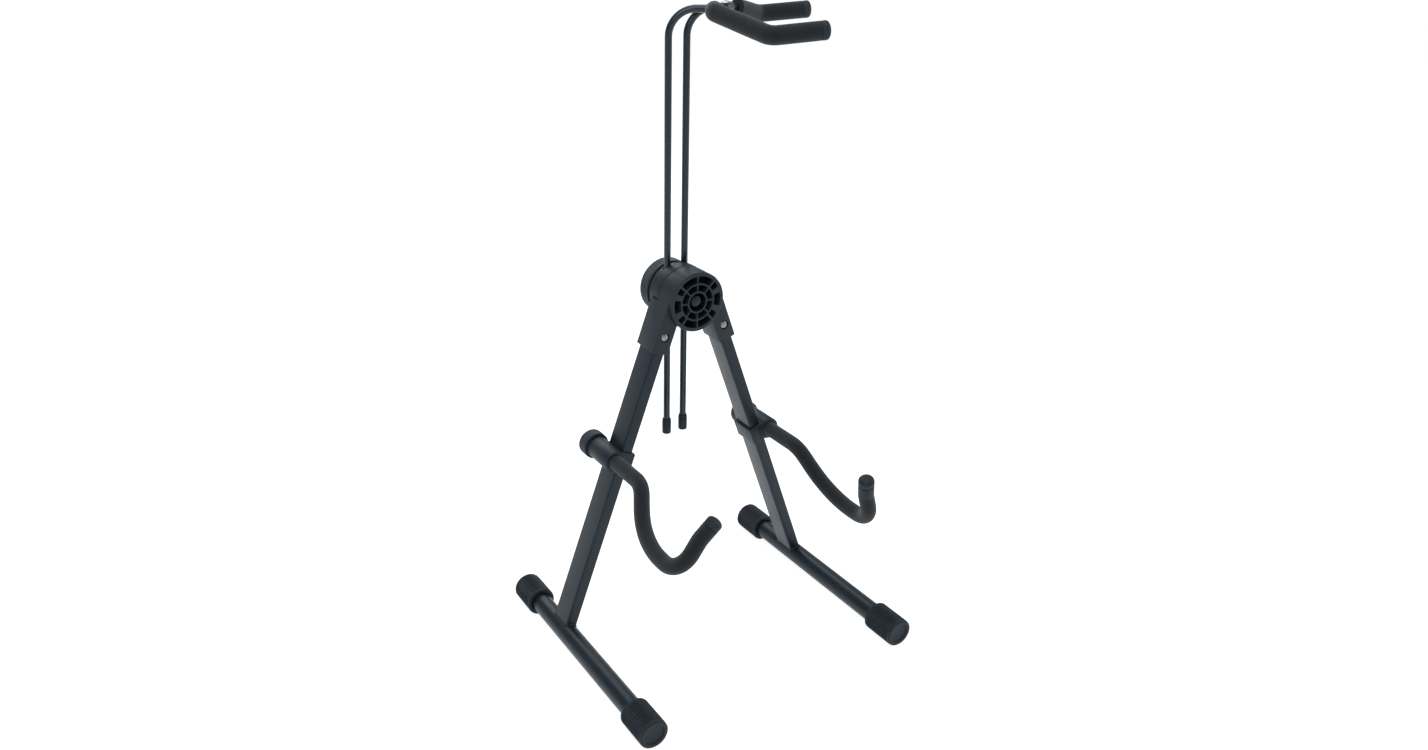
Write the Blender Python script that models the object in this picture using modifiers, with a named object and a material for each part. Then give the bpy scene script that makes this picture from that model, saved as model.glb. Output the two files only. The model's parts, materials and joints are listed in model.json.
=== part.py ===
"""A folding A-frame guitar stand with two height-adjustable neck rods and two swivelling arms.

Metres, +Z up, +X to the right and the front towards -Y. The feet rest on z = 0, and the origin
lies under the middle of the feet. Both legs turn about one bolt, which is the hub frame here.
"""

import math

import bmesh
import bpy
from mathutils import Matrix, Vector

MM = 0.001
GAP = 0.3 * MM  # between two pieces that touch
STEP = 0.1 * MM  # so that no two cut faces lie in one plane
LEFT, RIGHT = -1, 1
SIDE_NAMES = {LEFT: "left", RIGHT: "right"}

# Stance
LEAN = math.radians(20.38)  # of each leg from the vertical
LEG_REACH = 438.6 * MM  # from the hub bolt to the foot tube, along the leg
FOOT_FRONT = 226.5 * MM  # how far the feet reach before and behind the hub frame
FOOT_REAR = 104.5 * MM

# Legs and feet
LEG_THICK, LEG_WIDE, LEG_WALL = 15 * MM, 32 * MM, 1.5 * MM
LEG_SETBACK = -2.4 * MM  # the leg's middle, along Y from the hub frame
FOOT_RADIUS, FOOT_WALL = 12.5 * MM, 1.5 * MM
CAP_WALL, CAP_LENGTH, CAP_END = 5.5 * MM, 45 * MM, 5 * MM
CAP_RADIUS = FOOT_RADIUS + CAP_WALL
CAP_FLAT = CAP_RADIUS - 1 * MM  # from the foot tube's axis down to the flat on the floor

# Hub brackets
DRUM_RADIUS, DRUM_WALL = 35.4 * MM, 4.4 * MM
DRUM_FRONT = -26.4 * MM
DRUM_SPLIT = 2.0 * MM  # the plane between the two drums
DRUM_REAR = 17.2 * MM
FRICTION_THICK, FRICTION_RADIUS = 0.8 * MM, 28 * MM
SOCKET_WALL, SOCKET_LENGTH = 3.2 * MM, 69 * MM
SOCKET_REAR_WALL = 2.3 * MM
SOCKET_INSET = 0.3 * MM  # of the socket's outer face from the drum's rim
# From the hub bolt to the leg's centre line
LEG_OFFSET = DRUM_RADIUS - SOCKET_INSET - SOCKET_WALL - GAP - LEG_THICK / 2
SOCKET_SHOULDER = 12 * MM  # where the socket ends below the other bracket's drum
LEG_CLEAR = 2.9 * MM  # from the other bracket's drum to the leg tube's inner edge
# From the hub bolt down to the leg tube's top
LEG_ENTRY = math.sqrt((DRUM_RADIUS + LEG_CLEAR) ** 2 - (LEG_OFFSET - LEG_THICK / 2) ** 2)
RING_RADIUS, RING_WALL = 22.5 * MM, 2.5 * MM
BOSS_RADIUS, WEB_RIB, WEB_DEPTH = 13.5 * MM, 1.8 * MM, 10 * MM
SCREW_RADIUS, SCREW_HEAD_RADIUS, SCREW_HEAD_TALL = 2 * MM, 4.5 * MM, 2.2 * MM
SCREW_DROP = 49 * MM  # of the bracket screw below the hub bolt
NUT_FLATS, NUT_TALL = 7 * MM, 2.0 * MM

# Hub stack along Y
BOLT_RADIUS, BOLT_HEAD_RADIUS, BOLT_HEAD_TALL = 4 * MM, 7 * MM, 4 * MM
BOLT_SEAT = 5.5 * MM  # from the drum's face down to the seat of the bolt's head
BOLT_ROOM_RADIUS = 11 * MM  # of the well round the bolt's head
BOLT_END = 44 * MM
ROD_RADIUS, ROD_SPREAD = 4 * MM, 11.6 * MM
ROD_SETBACK = 22 * MM
BLOCK_RADIUS, BLOCK_WALL = 32 * MM, 3.2 * MM
BLOCK_LIP = 2 * MM  # how much of a rod stands out of the block's groove
SPACER_RADIUS = ROD_SPREAD - ROD_RADIUS - 0.7 * MM
WASHER_THICK = 1.2 * MM
HUB_KNOB_RADIUS, HUB_KNOB_LONG = 33.5 * MM, 17.5 * MM
INSERT_FLATS, INSERT_LONG = 13 * MM, 6.5 * MM

# Neck rods
NECK_TOP = 314.5 * MM  # the bend's crown above the hub bolt
NECK_BOTTOM = 184.7 * MM
NECK_BEND, NECK_REACH = 29 * MM, 48 * MM
FORK_SPREAD, FORK_SPREAD_ANGLE = 33.5 * MM, math.radians(92)
PRONG_LONG, PRONG_ANGLE, PRONG_PITCH = 77 * MM, math.radians(44.5), math.radians(-12.5)
TIP_LONG, TIP_ANGLE, TIP_PITCH = 56 * MM, math.radians(-7.5), math.radians(5)
FORK_BEND, PRONG_BEND = 10 * MM, 15 * MM
NECK_YAW = {LEFT: math.radians(59), RIGHT: math.radians(69)}  # of each rod about its own axis
NECK_FOAM_RADIUS = 9.6 * MM
# From the fork's corner along the rod: one sleeve covers the fork, the other its prong only
NECK_FOAM_START = {LEFT: 13 * MM, RIGHT: 56 * MM}
END_CAP_RADIUS, END_CAP_LONG, END_CAP_WALL = 5.5 * MM, 20 * MM, 2 * MM

# Leg clamps and arms
CLAMP_DROP = {LEFT: 205.8 * MM, RIGHT: 218.4 * MM}  # of the arm's axis below the hub bolt
CLAMP_OUT = 15 * MM  # from the leg's centre line to the arm's axis
CLAMP_WALL, CLAMP_REAR_WALL, CLAMP_LONG, CLAMP_FIT = 3.1 * MM, 2.2 * MM, 24 * MM, 0.4 * MM
BARREL_RADIUS, BARREL_FRONT, BARREL_REAR = 13.5 * MM, -24 * MM, 22 * MM
ARM_SWIVEL = {LEFT: math.radians(15.1), RIGHT: math.radians(-3.8)}  # outward of the leg
ARM_FOAM_RADIUS = 9.2 * MM
ARM_SHOULDER_RADIUS, ARM_SHOULDER_LONG = 7 * MM, 2.4 * MM
ARM_REAR = 36 * MM  # how far the rod reaches behind the hub frame
ARM_STRAIGHT = 84 * MM
ARM_SLOPE_LONG, ARM_DIP = 50 * MM, 49 * MM
ARM_TROUGH_LONG = 76 * MM
ARM_HOOK_TALL, ARM_TIP_LONG, ARM_TIP_OUT = 44 * MM, 24 * MM, 6 * MM
ARM_BENDS = (32 * MM, 100 * MM, 28 * MM, 20 * MM)
ARM_KNOB_RADIUS, ARM_KNOB_LONG = 16.5 * MM, 16 * MM
TIP_CAP_LONG, TIP_CAP_DOME = 5 * MM, 5 * MM
FOAM_FIT = 0.5 * MM  # round a rod, where the foam slides on

HUB_HEIGHT = CAP_FLAT + LEG_REACH * math.cos(LEAN) - LEG_OFFSET * math.sin(LEAN)
HUB_SETBACK = (FOOT_FRONT - FOOT_REAR) / 2
LEG_FRONT = LEG_SETBACK - LEG_WIDE / 2
LEG_REAR = LEG_SETBACK + LEG_WIDE / 2
ARM_AXIS = LEG_OFFSET + CLAMP_OUT
BOLT_FACE = DRUM_FRONT + BOLT_SEAT
BLOCK_FRONT = ROD_SETBACK - ROD_RADIUS + BLOCK_LIP
BLOCK_REAR = ROD_SETBACK + ROD_RADIUS + GAP + BLOCK_WALL
KNOB_WASHER_FRONT = BLOCK_REAR + GAP
HUB_KNOB_FRONT = KNOB_WASHER_FRONT + WASHER_THICK + GAP
HUB_KNOB_REAR = HUB_KNOB_FRONT + HUB_KNOB_LONG
ARM_KNOB_FRONT = BARREL_REAR + 2 * GAP + WASHER_THICK


def clear_scene():
    """Empty the scene of every object it starts with."""
    for item in list(bpy.data.objects):
        bpy.data.objects.remove(item)


def collection(name):
    made = bpy.data.collections.new(name)
    bpy.context.scene.collection.children.link(made)
    return made


def material(name, colour, roughness, metallic=0.0):
    """A plain Principled finish."""
    made = bpy.data.materials.new(name)
    made.use_nodes = True
    shader = made.node_tree.nodes["Principled BSDF"]
    shader.inputs["Base Color"].default_value = (*colour, 1)
    shader.inputs["Roughness"].default_value = roughness
    shader.inputs["Metallic"].default_value = metallic
    return made


class Workshop:
    """Makes objects in the stand's collection, and their cutters in another."""

    def __init__(self):
        self.parts = collection("guitar_stand")
        self.cutters = collection("cutters")

    def frame(self, name, parent=None, location=(0, 0, 0), turn=0.0):
        """An empty turned about Y, which its pieces are placed in."""
        made = bpy.data.objects.new(name, None)
        made.parent = parent
        made.location = location
        made.rotation_euler = (0, turn, 0)
        self.parts.objects.link(made)
        return made

    def add(self, name, mesh, parent, finish=None):
        """One piece, or a helper when it has no finish."""
        made = bpy.data.objects.new(name, mesh)
        made.parent = parent
        if finish:
            mesh.materials.append(finish)
            mesh.shade_smooth()
            mesh.set_sharp_from_angle(angle=math.radians(40))
            self.parts.objects.link(made)
        else:
            made.hide_render = True
            made.display_type = "WIRE"
            self.cutters.objects.link(made)
        return made

    def box(self, name, low, high, parent, finish=None):
        """A box between two corners."""
        low, high = Vector(low), Vector(high)
        mesh = bpy.data.meshes.new(name)
        build = bmesh.new()
        size = Matrix.Diagonal((*(high - low), 1))
        bmesh.ops.create_cube(build, size=1, matrix=Matrix.Translation((low + high) / 2) @ size)
        build.to_mesh(mesh)
        build.free()
        return self.add(name, mesh, parent, finish)

    def cylinder(self, name, radius, front, rear, parent, finish=None, at=(0, 0), sides=32):
        """A round, or with few sides a hexagon, along Y from front to rear."""
        mesh = bpy.data.meshes.new(name)
        build = bmesh.new()
        middle = Vector((at[0], (front + rear) / 2, at[1]))
        place = Matrix.Translation(middle) @ Matrix.Rotation(math.radians(-90), 4, "X")
        bmesh.ops.create_cone(
            build, cap_ends=True, segments=sides, radius1=radius, radius2=radius,
            depth=rear - front, matrix=place,
        )
        build.to_mesh(mesh)
        build.free()
        return self.add(name, mesh, parent, finish)

    def hexagon(self, name, flats, front, rear, parent, finish=None, at=(0, 0)):
        return self.cylinder(
            name, flats / math.sqrt(3), front, rear, parent, finish, at=at, sides=6
        )

    def turned(self, name, profile, parent, finish, at=(0, 0, 0), axis="Y", sides=32):
        """A profile of (radius, place) pairs turned about an axis, from its far end downwards.

        A profile whose ends lie on the axis makes a solid, and any other one makes a ring.
        """
        mesh = bpy.data.meshes.new(name)
        build = bmesh.new()
        rim = [build.verts.new((radius, 0, place)) for radius, place in profile]
        for first, second in zip(rim, rim[1:]):
            build.edges.new((first, second))
        if profile[0][0] > 0:
            build.edges.new((rim[-1], rim[0]))
        build.to_mesh(mesh)
        build.free()
        made = self.add(name, mesh, parent, finish)
        made.location = at
        if axis == "Y":
            made.rotation_euler = (math.radians(-90), 0, 0)
        elif axis != "Z":
            made.rotation_euler = Vector(axis).to_track_quat("Z", "Y").to_euler()
        screw = made.modifiers.new("Turn", "SCREW")
        screw.steps = screw.render_steps = sides
        screw.use_merge_vertices = True
        screw.merge_threshold = 0.00001
        screw.use_smooth_shade = True
        return made

    def tube(self, name, points, radius, parent, finish=None, detail=2):
        """A round rod along a path, as a mesh that can be cut."""
        curve = bpy.data.curves.new(name, "CURVE")
        curve.dimensions = "3D"
        curve.bevel_depth = radius
        curve.bevel_resolution = detail
        curve.use_fill_caps = True
        line = curve.splines.new("POLY")
        line.points.add(len(points) - 1)
        for place, point in zip(line.points, points):
            place.co = (*point, 1)
        return self.add(name, self.meshed(name, curve), parent, finish)

    def plates(self, name, outlines, front, rear, parent):
        """Flat outlines in X and Z, as one helper from front to rear."""
        curve = bpy.data.curves.new(name, "CURVE")
        curve.dimensions = "2D"
        curve.fill_mode = "BOTH"
        curve.extrude = (rear - front) / 2
        for outline in outlines:
            line = curve.splines.new("POLY")
            line.points.add(len(outline) - 1)
            line.use_cyclic_u = True
            for place, (x, z) in zip(line.points, outline):
                place.co = (x, z, 0, 1)
        mesh = self.meshed(name, curve)
        mesh.transform(
            Matrix.Translation((0, (front + rear) / 2, 0)) @ Matrix.Rotation(math.radians(90), 4, "X")
        )
        return self.add(name, mesh, parent)

    def meshed(self, name, curve):
        """The curve's mesh with its caps welded on."""
        guide = bpy.data.objects.new(name + "_curve", curve)
        self.cutters.objects.link(guide)
        graph = bpy.context.evaluated_depsgraph_get()
        mesh = bpy.data.meshes.new_from_object(guide.evaluated_get(graph))
        bpy.data.objects.remove(guide)
        build = bmesh.new()
        build.from_mesh(mesh)
        bmesh.ops.remove_doubles(build, verts=build.verts, dist=0.000001)
        bmesh.ops.recalc_face_normals(build, faces=build.faces)
        build.to_mesh(mesh)
        build.free()
        mesh.name = name
        return mesh

    def combine(self, piece, operation, helpers):
        for helper in helpers:
            step = piece.modifiers.new(helper.name[:40], "BOOLEAN")
            step.operation = operation
            step.object = helper
            step.solver = "EXACT"

    def cut(self, piece, *helpers):
        self.combine(piece, "DIFFERENCE", helpers)

    def join(self, piece, *helpers):
        self.combine(piece, "UNION", helpers)


def filleted(corners, radii, step=math.radians(16)):
    """The corners as a path, each inner one rounded to its radius by short chords."""
    corners = [Vector(corner) for corner in corners]
    path = [corners[0]]
    for before, corner, after, radius in zip(corners, corners[1:], corners[2:], radii):
        back, ahead = (before - corner).normalized(), (after - corner).normalized()
        turn = math.pi - back.angle(ahead)
        start = corner + back * radius * math.tan(turn / 2)
        centre = corner + (back + ahead).normalized() * radius / math.cos(turn / 2)
        out, along = start - centre, -back * radius
        count = max(2, math.ceil(turn / step))
        for index in range(count + 1):
            angle = turn * index / count
            path.append(centre + out * math.cos(angle) + along * math.sin(angle))
    path.append(corners[-1])
    return path


def length_of(path):
    return sum((second - first).length for first, second in zip(path, path[1:]))


def portion(path, start, end):
    """The path between two lengths along it, running straight on where they pass its ends."""
    lengths = [0.0]
    for first, second in zip(path, path[1:]):
        lengths.append(lengths[-1] + (second - first).length)

    def place(where):
        index = next((i for i in range(1, len(lengths) - 1) if where < lengths[i]), len(lengths) - 1)
        first, second = path[index - 1], path[index]
        share = (where - lengths[index - 1]) / (lengths[index] - lengths[index - 1])
        return first.lerp(second, share) if 0 <= share <= 1 else first + (second - first) * share

    inner = [point for point, where in zip(path, lengths) if start + MM < where < end - MM]
    return [place(start), *inner, place(end)]


def sector(inner, outer, start, end, rib):
    """The outline of a ring's pocket between two angles clockwise from the top, less half a rib."""

    def arc(radius, first, last):
        trim = math.asin(rib / 2 / radius)
        first, last = first + trim, last - trim
        count = max(2, math.ceil((last - first) / math.radians(15)))
        steps = (first + (last - first) * index / count for index in range(count + 1))
        return [(radius * math.sin(angle), radius * math.cos(angle)) for angle in steps]

    return arc(inner, start, end) + arc(outer, start, end)[::-1]


class Finishes:
    """The materials that the pieces share."""

    def __init__(self):
        self.plastic = material("hub_plastic", (0.028, 0.032, 0.037), 0.42)
        self.steel = material("painted_steel", (0.020, 0.023, 0.027), 0.32, 0.2)
        self.rod = material("rod_paint", (0.016, 0.018, 0.022), 0.28, 0.2)
        self.rubber = material("cap_rubber", (0.020, 0.021, 0.023), 0.7)
        self.foam = material("grip_foam", (0.026, 0.028, 0.030), 0.95)
        self.nickel = material("nickel_plate", (0.62, 0.60, 0.57), 0.22, 1.0)


def web_outlines():
    """The pockets of the drum's face: eight round the boss, and a ring of long and short ones."""
    inner = RING_RADIUS - RING_WALL
    outlines = []
    for index in range(8):
        start = math.radians(45 * index)
        outlines.append(sector(BOSS_RADIUS, inner, start, start + math.radians(45), WEB_RIB))
    half = ((0, 44), (46, 64), (75, 109), (121, 139), (141, 180))
    for start, end in half:
        for first, last in ((start, end), (360 - end, 360 - start)):
            outlines.append(
                sector(
                    RING_RADIUS, DRUM_RADIUS - DRUM_WALL,
                    math.radians(first), math.radians(last), WEB_RIB,
                )
            )
    return outlines


def add_bracket(shop, side, frame, finishes):
    """The drum on the hub bolt and the socket that holds the leg."""
    name = SIDE_NAMES[side]
    front_drum = side == LEFT
    split = DRUM_SPLIT - GAP - FRICTION_THICK / 2, DRUM_SPLIT + GAP + FRICTION_THICK / 2
    drum = (DRUM_FRONT, split[0]) if front_drum else (split[1], DRUM_REAR)
    if front_drum:
        other = split[0] - STEP, 2 * DRUM_REAR
        beside = split[0] + STEP, 2 * DRUM_REAR
    else:
        other = 2 * DRUM_FRONT, split[1] + STEP
        beside = 2 * DRUM_FRONT, split[1] - STEP
    bracket = shop.cylinder(name + "_bracket", DRUM_RADIUS, *drum, frame, finishes.plastic, sides=40)
    inner = LEG_OFFSET - LEG_THICK / 2 - SOCKET_WALL
    outer = DRUM_RADIUS - SOCKET_INSET
    socket_front, socket_rear = LEG_FRONT - SOCKET_WALL, LEG_REAR + GAP + SOCKET_REAR_WALL
    low, high = sorted((side * inner, side * outer))
    socket = shop.box(
        name + "_socket", (low, socket_front, -SOCKET_LENGTH), (high, socket_rear, -2 * MM), frame
    )
    clearance = DRUM_RADIUS + 2 * GAP
    room = shop.cylinder(name + "_drum_room", clearance, *other, frame, sides=40)
    shoulder = shop.box(
        name + "_shoulder_room",
        (low - MM, beside[0], -SOCKET_SHOULDER), (high + MM, beside[1], MM), frame,
    )
    shop.cut(socket, room, shoulder)
    pocket = shop.box(
        name + "_leg_pocket",
        (side * LEG_OFFSET - LEG_THICK / 2 - GAP, LEG_FRONT - GAP, -2 * SOCKET_LENGTH),
        (side * LEG_OFFSET + LEG_THICK / 2 + GAP, LEG_REAR + GAP, GAP - LEG_ENTRY), frame,
    )
    bore = shop.cylinder(
        name + "_bolt_bore", BOLT_RADIUS + GAP, 2 * DRUM_FRONT, 2 * DRUM_REAR, frame, sides=24
    )
    shop.join(bracket, socket)
    shop.cut(bracket, pocket, bore)
    place = (side * (LEG_OFFSET + MM), -SCREW_DROP)
    seat = socket_front + 0.9 * MM
    hole = shop.cylinder(
        name + "_screw_hole", SCREW_RADIUS + GAP, 2 * DRUM_FRONT, 2 * DRUM_REAR, frame,
        at=place, sides=16,
    )
    recess = shop.cylinder(
        name + "_screw_recess", SCREW_HEAD_RADIUS + 2 * GAP, 2 * DRUM_FRONT, seat, frame,
        at=place, sides=24,
    )
    nut_recess = shop.hexagon(
        name + "_nut_recess", NUT_FLATS + 2 * GAP, socket_rear - 1.3 * MM, 2 * DRUM_REAR, frame,
        at=place,
    )
    shop.cut(bracket, hole, recess, nut_recess)
    if front_drum:
        turn = shop.frame("web_frame", frame, turn=-frame.rotation_euler.y)
        web = shop.plates("web_pockets", web_outlines(), 2 * DRUM_FRONT, DRUM_FRONT + WEB_DEPTH, turn)
        head_room = shop.cylinder(
            "bolt_head_room", BOLT_ROOM_RADIUS, 2 * DRUM_FRONT, BOLT_FACE, frame, sides=24
        )
        shop.cut(bracket, web, head_room)
    add_screw(shop, name, place, seat, socket_rear - 1.3 * MM, frame, finishes)
    return hole


def add_screw(shop, name, place, seat, nut_seat, frame, finishes):
    """The screw that pins the leg in its bracket, with its nut in the bracket's rear."""
    seat -= GAP
    nut_front = nut_seat + GAP
    head = SCREW_HEAD_RADIUS
    profile = [
        (0, nut_front + NUT_TALL + 0.4 * MM), (SCREW_RADIUS, nut_front + NUT_TALL + 0.4 * MM),
        (SCREW_RADIUS, seat), (head, seat), (head, seat - 0.8 * MM),
        (0.8 * head, seat - 0.8 * SCREW_HEAD_TALL), (0.4 * head, seat - SCREW_HEAD_TALL),
        (0, seat - SCREW_HEAD_TALL),
    ]
    where = (place[0], 0, place[1])
    shop.turned(name + "_bracket_screw", profile, frame, finishes.nickel, at=where, sides=16)
    nut = shop.hexagon(
        name + "_bracket_nut", NUT_FLATS, nut_front, nut_front + NUT_TALL, frame,
        finishes.nickel, at=place,
    )
    thread = shop.cylinder(
        name + "_nut_thread", SCREW_RADIUS + GAP, -DRUM_REAR, 2 * DRUM_REAR, frame,
        at=place, sides=16,
    )
    shop.cut(nut, thread)


def add_leg(shop, side, frame, screw_hole, finishes):
    """The leg's tube, open at its top and shaped at its foot to sit on the foot tube."""
    name = SIDE_NAMES[side]
    middle = side * LEG_OFFSET
    half = LEG_THICK / 2
    leg = shop.box(
        name + "_leg",
        (middle - half, LEG_FRONT, -LEG_REACH), (middle + half, LEG_REAR, -LEG_ENTRY),
        frame, finishes.steel,
    )
    edge = leg.modifiers.new("Edges", "BEVEL")
    edge.width = 1.2 * MM
    edge.segments = 2
    hollow = shop.box(
        name + "_leg_hollow",
        (middle - half + LEG_WALL, LEG_FRONT + LEG_WALL, -2 * LEG_REACH),
        (middle + half - LEG_WALL, LEG_REAR - LEG_WALL, 0), frame,
    )
    saddle = shop.cylinder(
        name + "_leg_saddle", FOOT_RADIUS + GAP, -FOOT_FRONT, FOOT_REAR, frame,
        at=(middle, -LEG_REACH), sides=32,
    )
    shop.cut(leg, hollow, saddle, screw_hole)


def add_foot(shop, side, frame, finishes):
    """The foot's tube and the rubber cap on each end, with a flat that lies on the floor."""
    name = SIDE_NAMES[side]
    foot = shop.frame(
        name + "_foot_frame", frame, (side * LEG_OFFSET, 0, -LEG_REACH), -frame.rotation_euler.y
    )
    front, rear = -FOOT_FRONT, FOOT_REAR
    inner, outer = FOOT_RADIUS - FOOT_WALL, FOOT_RADIUS
    ends = rear - CAP_END - GAP, front + CAP_END + GAP
    ring = [(inner, ends[0]), (outer, ends[0]), (outer, ends[1]), (inner, ends[1])]
    shop.turned(name + "_foot_tube", ring, foot, finishes.steel, sides=24)
    for end, (low, high) in {
        "front": (front, front + CAP_LENGTH), "rear": (rear - CAP_LENGTH, rear)
    }.items():
        cap = shop.cylinder(
            f"{name}_{end}_foot_cap", CAP_RADIUS, low, high, foot, finishes.rubber, sides=28
        )
        edge = cap.modifiers.new("Edges", "BEVEL")
        edge.width = 1.5 * MM
        edge.segments = 1
        edge.limit_method = "ANGLE"
        edge.angle_limit = math.radians(60)
        mouth = (low + CAP_END, high + MM) if end == "front" else (low - MM, high - CAP_END)
        bore = shop.cylinder(f"{name}_{end}_cap_bore", FOOT_RADIUS + 2 * GAP, *mouth, foot, sides=24)
        floor = shop.box(
            f"{name}_{end}_cap_floor",
            (-2 * CAP_RADIUS, low - MM, -2 * CAP_RADIUS), (2 * CAP_RADIUS, high + MM, -CAP_FLAT),
            foot,
        )
        shop.cut(cap, floor, bore)


def add_hub(shop, hub, finishes):
    """The bolt, the washers and the block that clamps the neck rods."""
    tip = BOLT_END
    seat = BOLT_FACE - GAP
    head = BOLT_HEAD_RADIUS
    bolt = [
        (0, tip), (BOLT_RADIUS - 0.6 * MM, tip), (BOLT_RADIUS, tip - 0.8 * MM), (BOLT_RADIUS, seat),
        (head, seat), (head, seat - 0.6 * BOLT_HEAD_TALL), (0.75 * head, seat - BOLT_HEAD_TALL),
        (0, seat - BOLT_HEAD_TALL),
    ]
    shop.turned("hub_bolt", bolt, hub, finishes.steel, sides=24)
    hole = BOLT_RADIUS + GAP
    rings = (
        ("hinge_friction_disc", FRICTION_RADIUS, DRUM_SPLIT - FRICTION_THICK / 2,
         DRUM_SPLIT + FRICTION_THICK / 2, finishes.rubber),
        ("hub_spacer", SPACER_RADIUS, DRUM_REAR + GAP, BLOCK_FRONT - GAP, finishes.nickel),
        ("hub_knob_washer", 2 * BOLT_HEAD_RADIUS, KNOB_WASHER_FRONT,
         KNOB_WASHER_FRONT + WASHER_THICK, finishes.nickel),
    )
    for name, radius, front, rear, finish in rings:
        ring = [(hole, rear), (radius, rear), (radius, front), (hole, front)]
        shop.turned(name, ring, hub, finish, sides=16)
    block = shop.cylinder(
        "rod_clamp_block", BLOCK_RADIUS, BLOCK_FRONT, BLOCK_REAR, hub, finishes.plastic, sides=40
    )
    bore = shop.cylinder("block_bore", hole, 0, 2 * BLOCK_REAR, hub, sides=24)
    grooves = []
    for side in (LEFT, RIGHT):
        half = ROD_RADIUS + GAP
        grooves.append(
            shop.box(
                SIDE_NAMES[side] + "_rod_groove",
                (side * ROD_SPREAD - half, 0, -2 * BLOCK_RADIUS),
                (side * ROD_SPREAD + half, ROD_SETBACK + half, 2 * BLOCK_RADIUS), hub,
            )
        )
    shop.cut(block, bore, *grooves)


def add_knob(shop, name, radius, front, long, thread, flats, insert, frame, finishes):
    """A turned knob, dished at its back, round a threaded hexagon insert."""
    rear = front + long
    knob = shop.turned(
        name,
        [
            (0, rear - 1.5 * MM), (0.72 * radius, rear - 1.5 * MM), (0.78 * radius, rear),
            (radius - 1.5 * MM, rear), (radius, rear - 1.5 * MM), (radius, front + 1.5 * MM),
            (radius - 1.5 * MM, front), (0, front),
        ],
        frame, finishes.plastic, sides=28,
    )
    nest = shop.hexagon(name + "_nest", flats + 2 * GAP, front - MM, front + insert + 2 * GAP, frame)
    end = shop.cylinder(name + "_thread_room", thread + 2 * GAP, front, rear - 3 * MM, frame, sides=20)
    shop.cut(knob, nest, end)
    nut = shop.hexagon(
        name + "_insert", flats, front + GAP, front + GAP + insert, frame, finishes.nickel
    )
    hole = shop.cylinder(name + "_insert_thread", thread + GAP, front - MM, rear, frame, sides=20)
    shop.cut(nut, hole)


def neck_path(side):
    """A neck rod's centre line in its own frame, from its lower end over the crown to its tip."""

    def run(long, out, pitch):
        return Vector((
            side * long * math.sin(out) * math.cos(pitch),
            -long * math.cos(out) * math.cos(pitch),
            long * math.sin(pitch),
        ))

    crown = Vector((0, 0, NECK_TOP))
    corners = [Vector((0, 0, END_CAP_WALL + GAP - NECK_BOTTOM)), crown]
    corners.append(crown + Vector((0, -NECK_REACH, 0)))
    corners.append(corners[-1] + run(FORK_SPREAD, FORK_SPREAD_ANGLE, 0))
    corners.append(corners[-1] + run(PRONG_LONG, PRONG_ANGLE, PRONG_PITCH))
    corners.append(corners[-1] + run(TIP_LONG, TIP_ANGLE, TIP_PITCH))
    return filleted(corners, (NECK_BEND, FORK_BEND, FORK_BEND, PRONG_BEND))


def arm_path():
    """An arm rod's centre line from its threaded end to its hooked tip, with Z down its dip."""
    reach = ARM_STRAIGHT + ARM_SLOPE_LONG + ARM_TROUGH_LONG
    corners = [
        (0, ARM_REAR, 0), (0, -ARM_STRAIGHT, 0), (0, -ARM_STRAIGHT - ARM_SLOPE_LONG, -ARM_DIP),
        (0, -reach, -ARM_DIP), (0, -reach, ARM_HOOK_TALL - ARM_DIP),
        (0, -reach - ARM_TIP_OUT, ARM_HOOK_TALL - ARM_DIP + ARM_TIP_LONG),
    ]
    return filleted(corners, ARM_BENDS)


def add_grip(shop, name, path, start, radius, frame, finishes):
    """A foam sleeve from a length along the rod to its end, and the cap that closes it."""
    total = length_of(path)
    end = total - TIP_CAP_LONG + GAP
    foam = shop.tube(name + "_foam", portion(path, start, end - GAP), radius, frame, finishes.foam, 3)
    bore = shop.tube(
        name + "_foam_bore", portion(path, start - 2 * MM, end + MM), ROD_RADIUS + FOAM_FIT, frame,
        detail=2,
    )
    shop.cut(foam, bore)
    tangent = (path[-1] - path[-2]).normalized()
    top = TIP_CAP_DOME
    hole = ROD_RADIUS + FOAM_FIT
    profile = [
        (0, top), (0.45 * radius, top - 0.4 * MM), (0.8 * radius, 0.5 * top), (radius, 0),
        (radius, -TIP_CAP_LONG + 2 * GAP), (hole, -TIP_CAP_LONG + 2 * GAP), (hole, 2 * GAP),
        (0, 2 * GAP),
    ]
    shop.turned(
        name + "_tip_cap", profile, frame, finishes.rubber, at=path[-1], axis=tangent, sides=16
    )


def add_neck_rod(shop, side, hub, finishes):
    """A bent neck rod with its foam grip and the plastic cap on its lower end."""
    name = SIDE_NAMES[side] + "_neck"
    frame = shop.frame(name + "_frame", hub, (side * ROD_SPREAD, ROD_SETBACK, 0))
    frame.rotation_euler = (0, 0, NECK_YAW[side])
    path = neck_path(side)
    shop.tube(name + "_rod", path, ROD_RADIUS, frame, finishes.rod)
    straight = NECK_TOP + NECK_BOTTOM - END_CAP_WALL - NECK_BEND
    start = straight + math.pi / 2 * NECK_BEND + NECK_REACH - NECK_BEND + NECK_FOAM_START[side]
    add_grip(shop, name, path, start, NECK_FOAM_RADIUS, frame, finishes)
    low = -NECK_BOTTOM
    hole = ROD_RADIUS + GAP
    profile = [
        (hole, low + END_CAP_LONG), (END_CAP_RADIUS, low + END_CAP_LONG),
        (END_CAP_RADIUS, low + 0.6 * MM), (END_CAP_RADIUS - 0.6 * MM, low), (0, low),
    ]
    shop.turned(
        name + "_end_cap",
        [(0, low + END_CAP_WALL), (hole, low + END_CAP_WALL), *profile],
        frame, finishes.rubber, axis="Z", sides=16,
    )


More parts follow.
